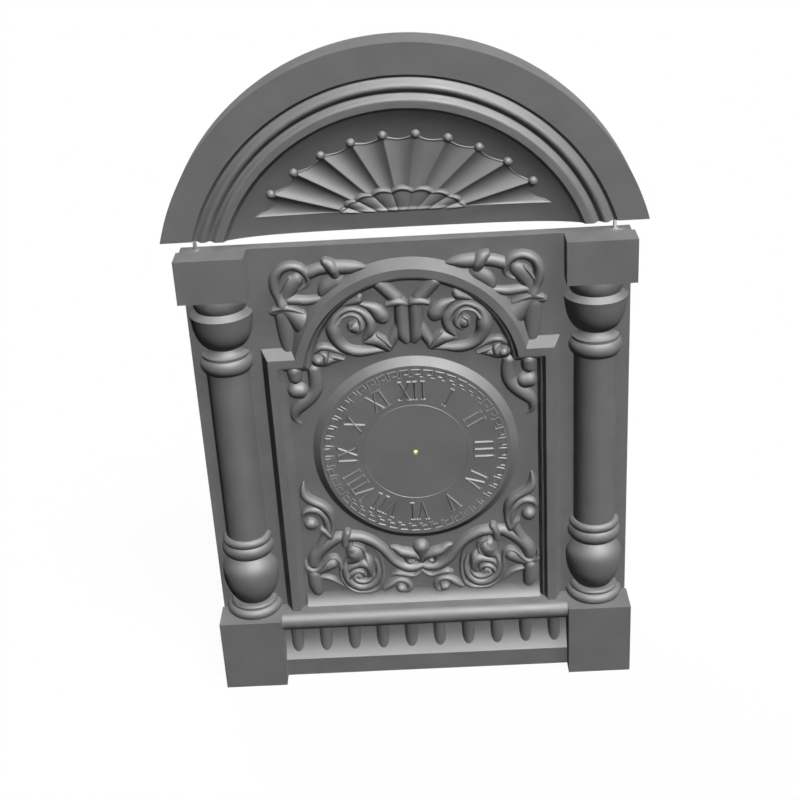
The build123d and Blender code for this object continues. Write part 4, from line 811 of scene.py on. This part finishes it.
class CLOCK_OT_carve_spandrels(bpy.types.Operator):
    """Carve the scrolls outside the arch"""

    bl_idname = "clock.carve_spandrels"
    bl_label = "Carve Spandrels"

    def execute(self, context):
        return both_sides(context, SPANDREL, "spandrel_carving", "spandrel_scroll_{side}")


class CLOCK_OT_carve_crest(bpy.types.Operator):
    """Carve the scrolls under the arch"""

    bl_idname = "clock.carve_crest"
    bl_label = "Carve Crest"

    def execute(self, context):
        return both_sides(context, CREST, "crest_carving", "crest_scroll_{side}")


class CLOCK_OT_carve_lower_scrolls(bpy.types.Operator):
    """Carve the scrolls under the dial"""

    bl_idname = "clock.carve_lower_scrolls"
    bl_label = "Carve Lower Scrolls"

    def execute(self, context):
        return both_sides(context, LOWER_SCROLL, "lower_carving", "lower_scroll_{side}")


class CLOCK_OT_carve_side_leaves(bpy.types.Operator):
    """Carve the leaves under the shoulders of the arch"""

    bl_idname = "clock.carve_side_leaves"
    bl_label = "Carve Side Leaves"

    def execute(self, context):
        return both_sides(context, SIDE_LEAF, "side_leaf", "side_leaves")


class CLOCK_OT_carve_fleuron(bpy.types.Operator):
    """Carve the fleuron between the lower scrolls"""

    bl_idname = "clock.carve_fleuron"
    bl_label = "Carve Fleuron"

    def execute(self, context):
        piece = carve("fleuron_carving", FLEURON, 1, context.scene.clock_carving)
        seat(piece, "case", grey_paint(context.scene.clock_finish), "painted_wood", "lower_fleuron")
        return {"FINISHED"}


class CLOCK_OT_slope_slip(bpy.types.Operator):
    """Slope the slip inside the dial's arched frame"""

    bl_idname = "clock.slope_slip"
    bl_label = "Slope Slip"

    def execute(self, context):
        paint = grey_paint(context.scene.clock_finish)
        seat(sloped_slip("slip_moulding"), "case", paint, "painted_wood", "frame_slip")
        return {"FINISHED"}


class CLOCK_OT_turn_arch(bpy.types.Operator):
    """Turn the pediment's moulded arch and its hollow"""

    bl_idname = "clock.turn_arch"
    bl_label = "Turn Arch"

    def execute(self, context):
        paint = grey_paint(context.scene.clock_finish)
        seat(turned("arch_mouldings", arch_profile()), "pediment", paint, "painted_wood", "pediment_arch")
        seat(turned("tympanum_hollow", dish_profile()), "pediment", paint, "painted_wood", "tympanum")
        return {"FINISHED"}


class CLOCK_OT_carve_fan(bpy.types.Operator):
    """Carve the pediment's fan and its palmette"""

    bl_idname = "clock.carve_fan"
    bl_label = "Carve Fan"

    def execute(self, context):
        carving, paint = context.scene.clock_carving, grey_paint(context.scene.clock_finish)
        fan = carve_fan("fan_carving", fan_points, fan_sag, fan_cut, carving, flute_depth)
        seat(fan, "pediment", paint, "painted_wood", "fan_shell")
        palmette = carve_fan("palmette_carving", palmette_points, palmette_sag, palmette_cut, carving, lobe_depth)
        seat(palmette, "pediment", paint, "painted_wood", "fan_palmette")
        return {"FINISHED"}


class CLOCK_OT_carve_dial(bpy.types.Operator):
    """Carve the dial's numerals and key border"""

    bl_idname = "clock.carve_dial"
    bl_label = "Carve Dial"

    def execute(self, context):
        paint = grey_paint(context.scene.clock_finish)
        numerals = empty_piece("numeral_carving")
        bpy.ops.mesh.primitive_torus_add(
            major_radius=ring_r * mm, minor_radius=ring_half * mm, major_segments=128, minor_segments=4,
            location=(0, dial_face, dial_z * mm), rotation=(pi / 2, 0, 0))
        for hour, name in enumerate(hour_names, start=1):
            add_strokes(numeral_strokes(name), 2 * pi * hour / len(hour_names), numeral_half, numeral_rise)
        seat(numerals, "case", paint, "dial_paint", "dial_numerals")
        border = empty_piece("key_carving")
        for cell in range(key_cells):
            add_strokes(key_strokes(), 2 * pi * cell / key_cells, key_half, key_rise)
        seat(border, "case", paint, "dial_paint", "dial_key_border")
        return {"FINISHED"}


class CLOCK_OT_set_stage(bpy.types.Operator):
    """Set the floor, the lamps and the camera"""

    bl_idname = "clock.set_stage"
    bl_label = "Set Stage"

    def execute(self, context):
        stage = context.scene.clock_stage
        deselect()
        bpy.ops.mesh.primitive_plane_add(size=stage.floor, location=(0, 0, 0))
        floor = bpy.context.object
        floor.name = "floor"
        floor.data.materials.append(floor_material())
        sky(stage.ambient)
        lamp("key_lamp", stage.key * key_share, key_from, key_spread)
        lamp("soft_lamp", stage.key * (1 - key_share), key_from, soft_spread).data.use_shadow = False
        gloss = lamp("gloss_lamp", stage.gloss, key_from, soft_spread)
        gloss.visible_diffuse = False
        gloss.data.use_shadow = False
        lamp("back_lamp", stage.back, back_from, back_spread)
        place_camera()
        context.scene.view_settings.view_transform = "Standard"
        return {"FINISHED"}


class CLOCK_PT_pieces(bpy.types.Panel):
    """Sidebar list of the clock's pieces"""

    bl_idname = "CLOCK_PT_pieces"
    bl_label = "Shelf Clock"
    bl_space_type = "VIEW_3D"
    bl_region_type = "UI"
    bl_category = "Clock"

    def draw(self, context):
        for operator in operators:
            self.layout.operator(operator.bl_idname)
        for group in (context.scene.clock_finish, context.scene.clock_carving, context.scene.clock_stage):
            for name in group.__annotations__:
                self.layout.prop(group, name)


operators = (
    CLOCK_OT_finish_woodwork,
    CLOCK_OT_finish_movement,
    CLOCK_OT_carve_spandrels,
    CLOCK_OT_carve_crest,
    CLOCK_OT_carve_lower_scrolls,
    CLOCK_OT_carve_side_leaves,
    CLOCK_OT_carve_fleuron,
    CLOCK_OT_slope_slip,
    CLOCK_OT_turn_arch,
    CLOCK_OT_carve_fan,
    CLOCK_OT_carve_dial,
    CLOCK_OT_set_stage,
)
groups = (ClockFinish, ClockCarving, ClockStage)


def register():
    for cls in (*groups, *operators, CLOCK_PT_pieces):
        bpy.utils.register_class(cls)
    bpy.types.Scene.clock_finish = PointerProperty(type=ClockFinish)
    bpy.types.Scene.clock_carving = PointerProperty(type=ClockCarving)
    bpy.types.Scene.clock_stage = PointerProperty(type=ClockStage)


def unregister():
    del bpy.types.Scene.clock_stage
    del bpy.types.Scene.clock_carving
    del bpy.types.Scene.clock_finish
    for cls in reversed((*groups, *operators, CLOCK_PT_pieces)):
        bpy.utils.unregister_class(cls)


def main():
    register()
    bpy.ops.clock.finish_woodwork()
    bpy.ops.clock.finish_movement()
    bpy.ops.clock.carve_spandrels()
    bpy.ops.clock.carve_crest()
    bpy.ops.clock.carve_lower_scrolls()
    bpy.ops.clock.carve_side_leaves()
    bpy.ops.clock.carve_fleuron()
    bpy.ops.clock.slope_slip()
    bpy.ops.clock.turn_arch()
    bpy.ops.clock.carve_fan()
    bpy.ops.clock.carve_dial()
    bpy.ops.clock.set_stage()


if __name__ == "__main__":
    main()
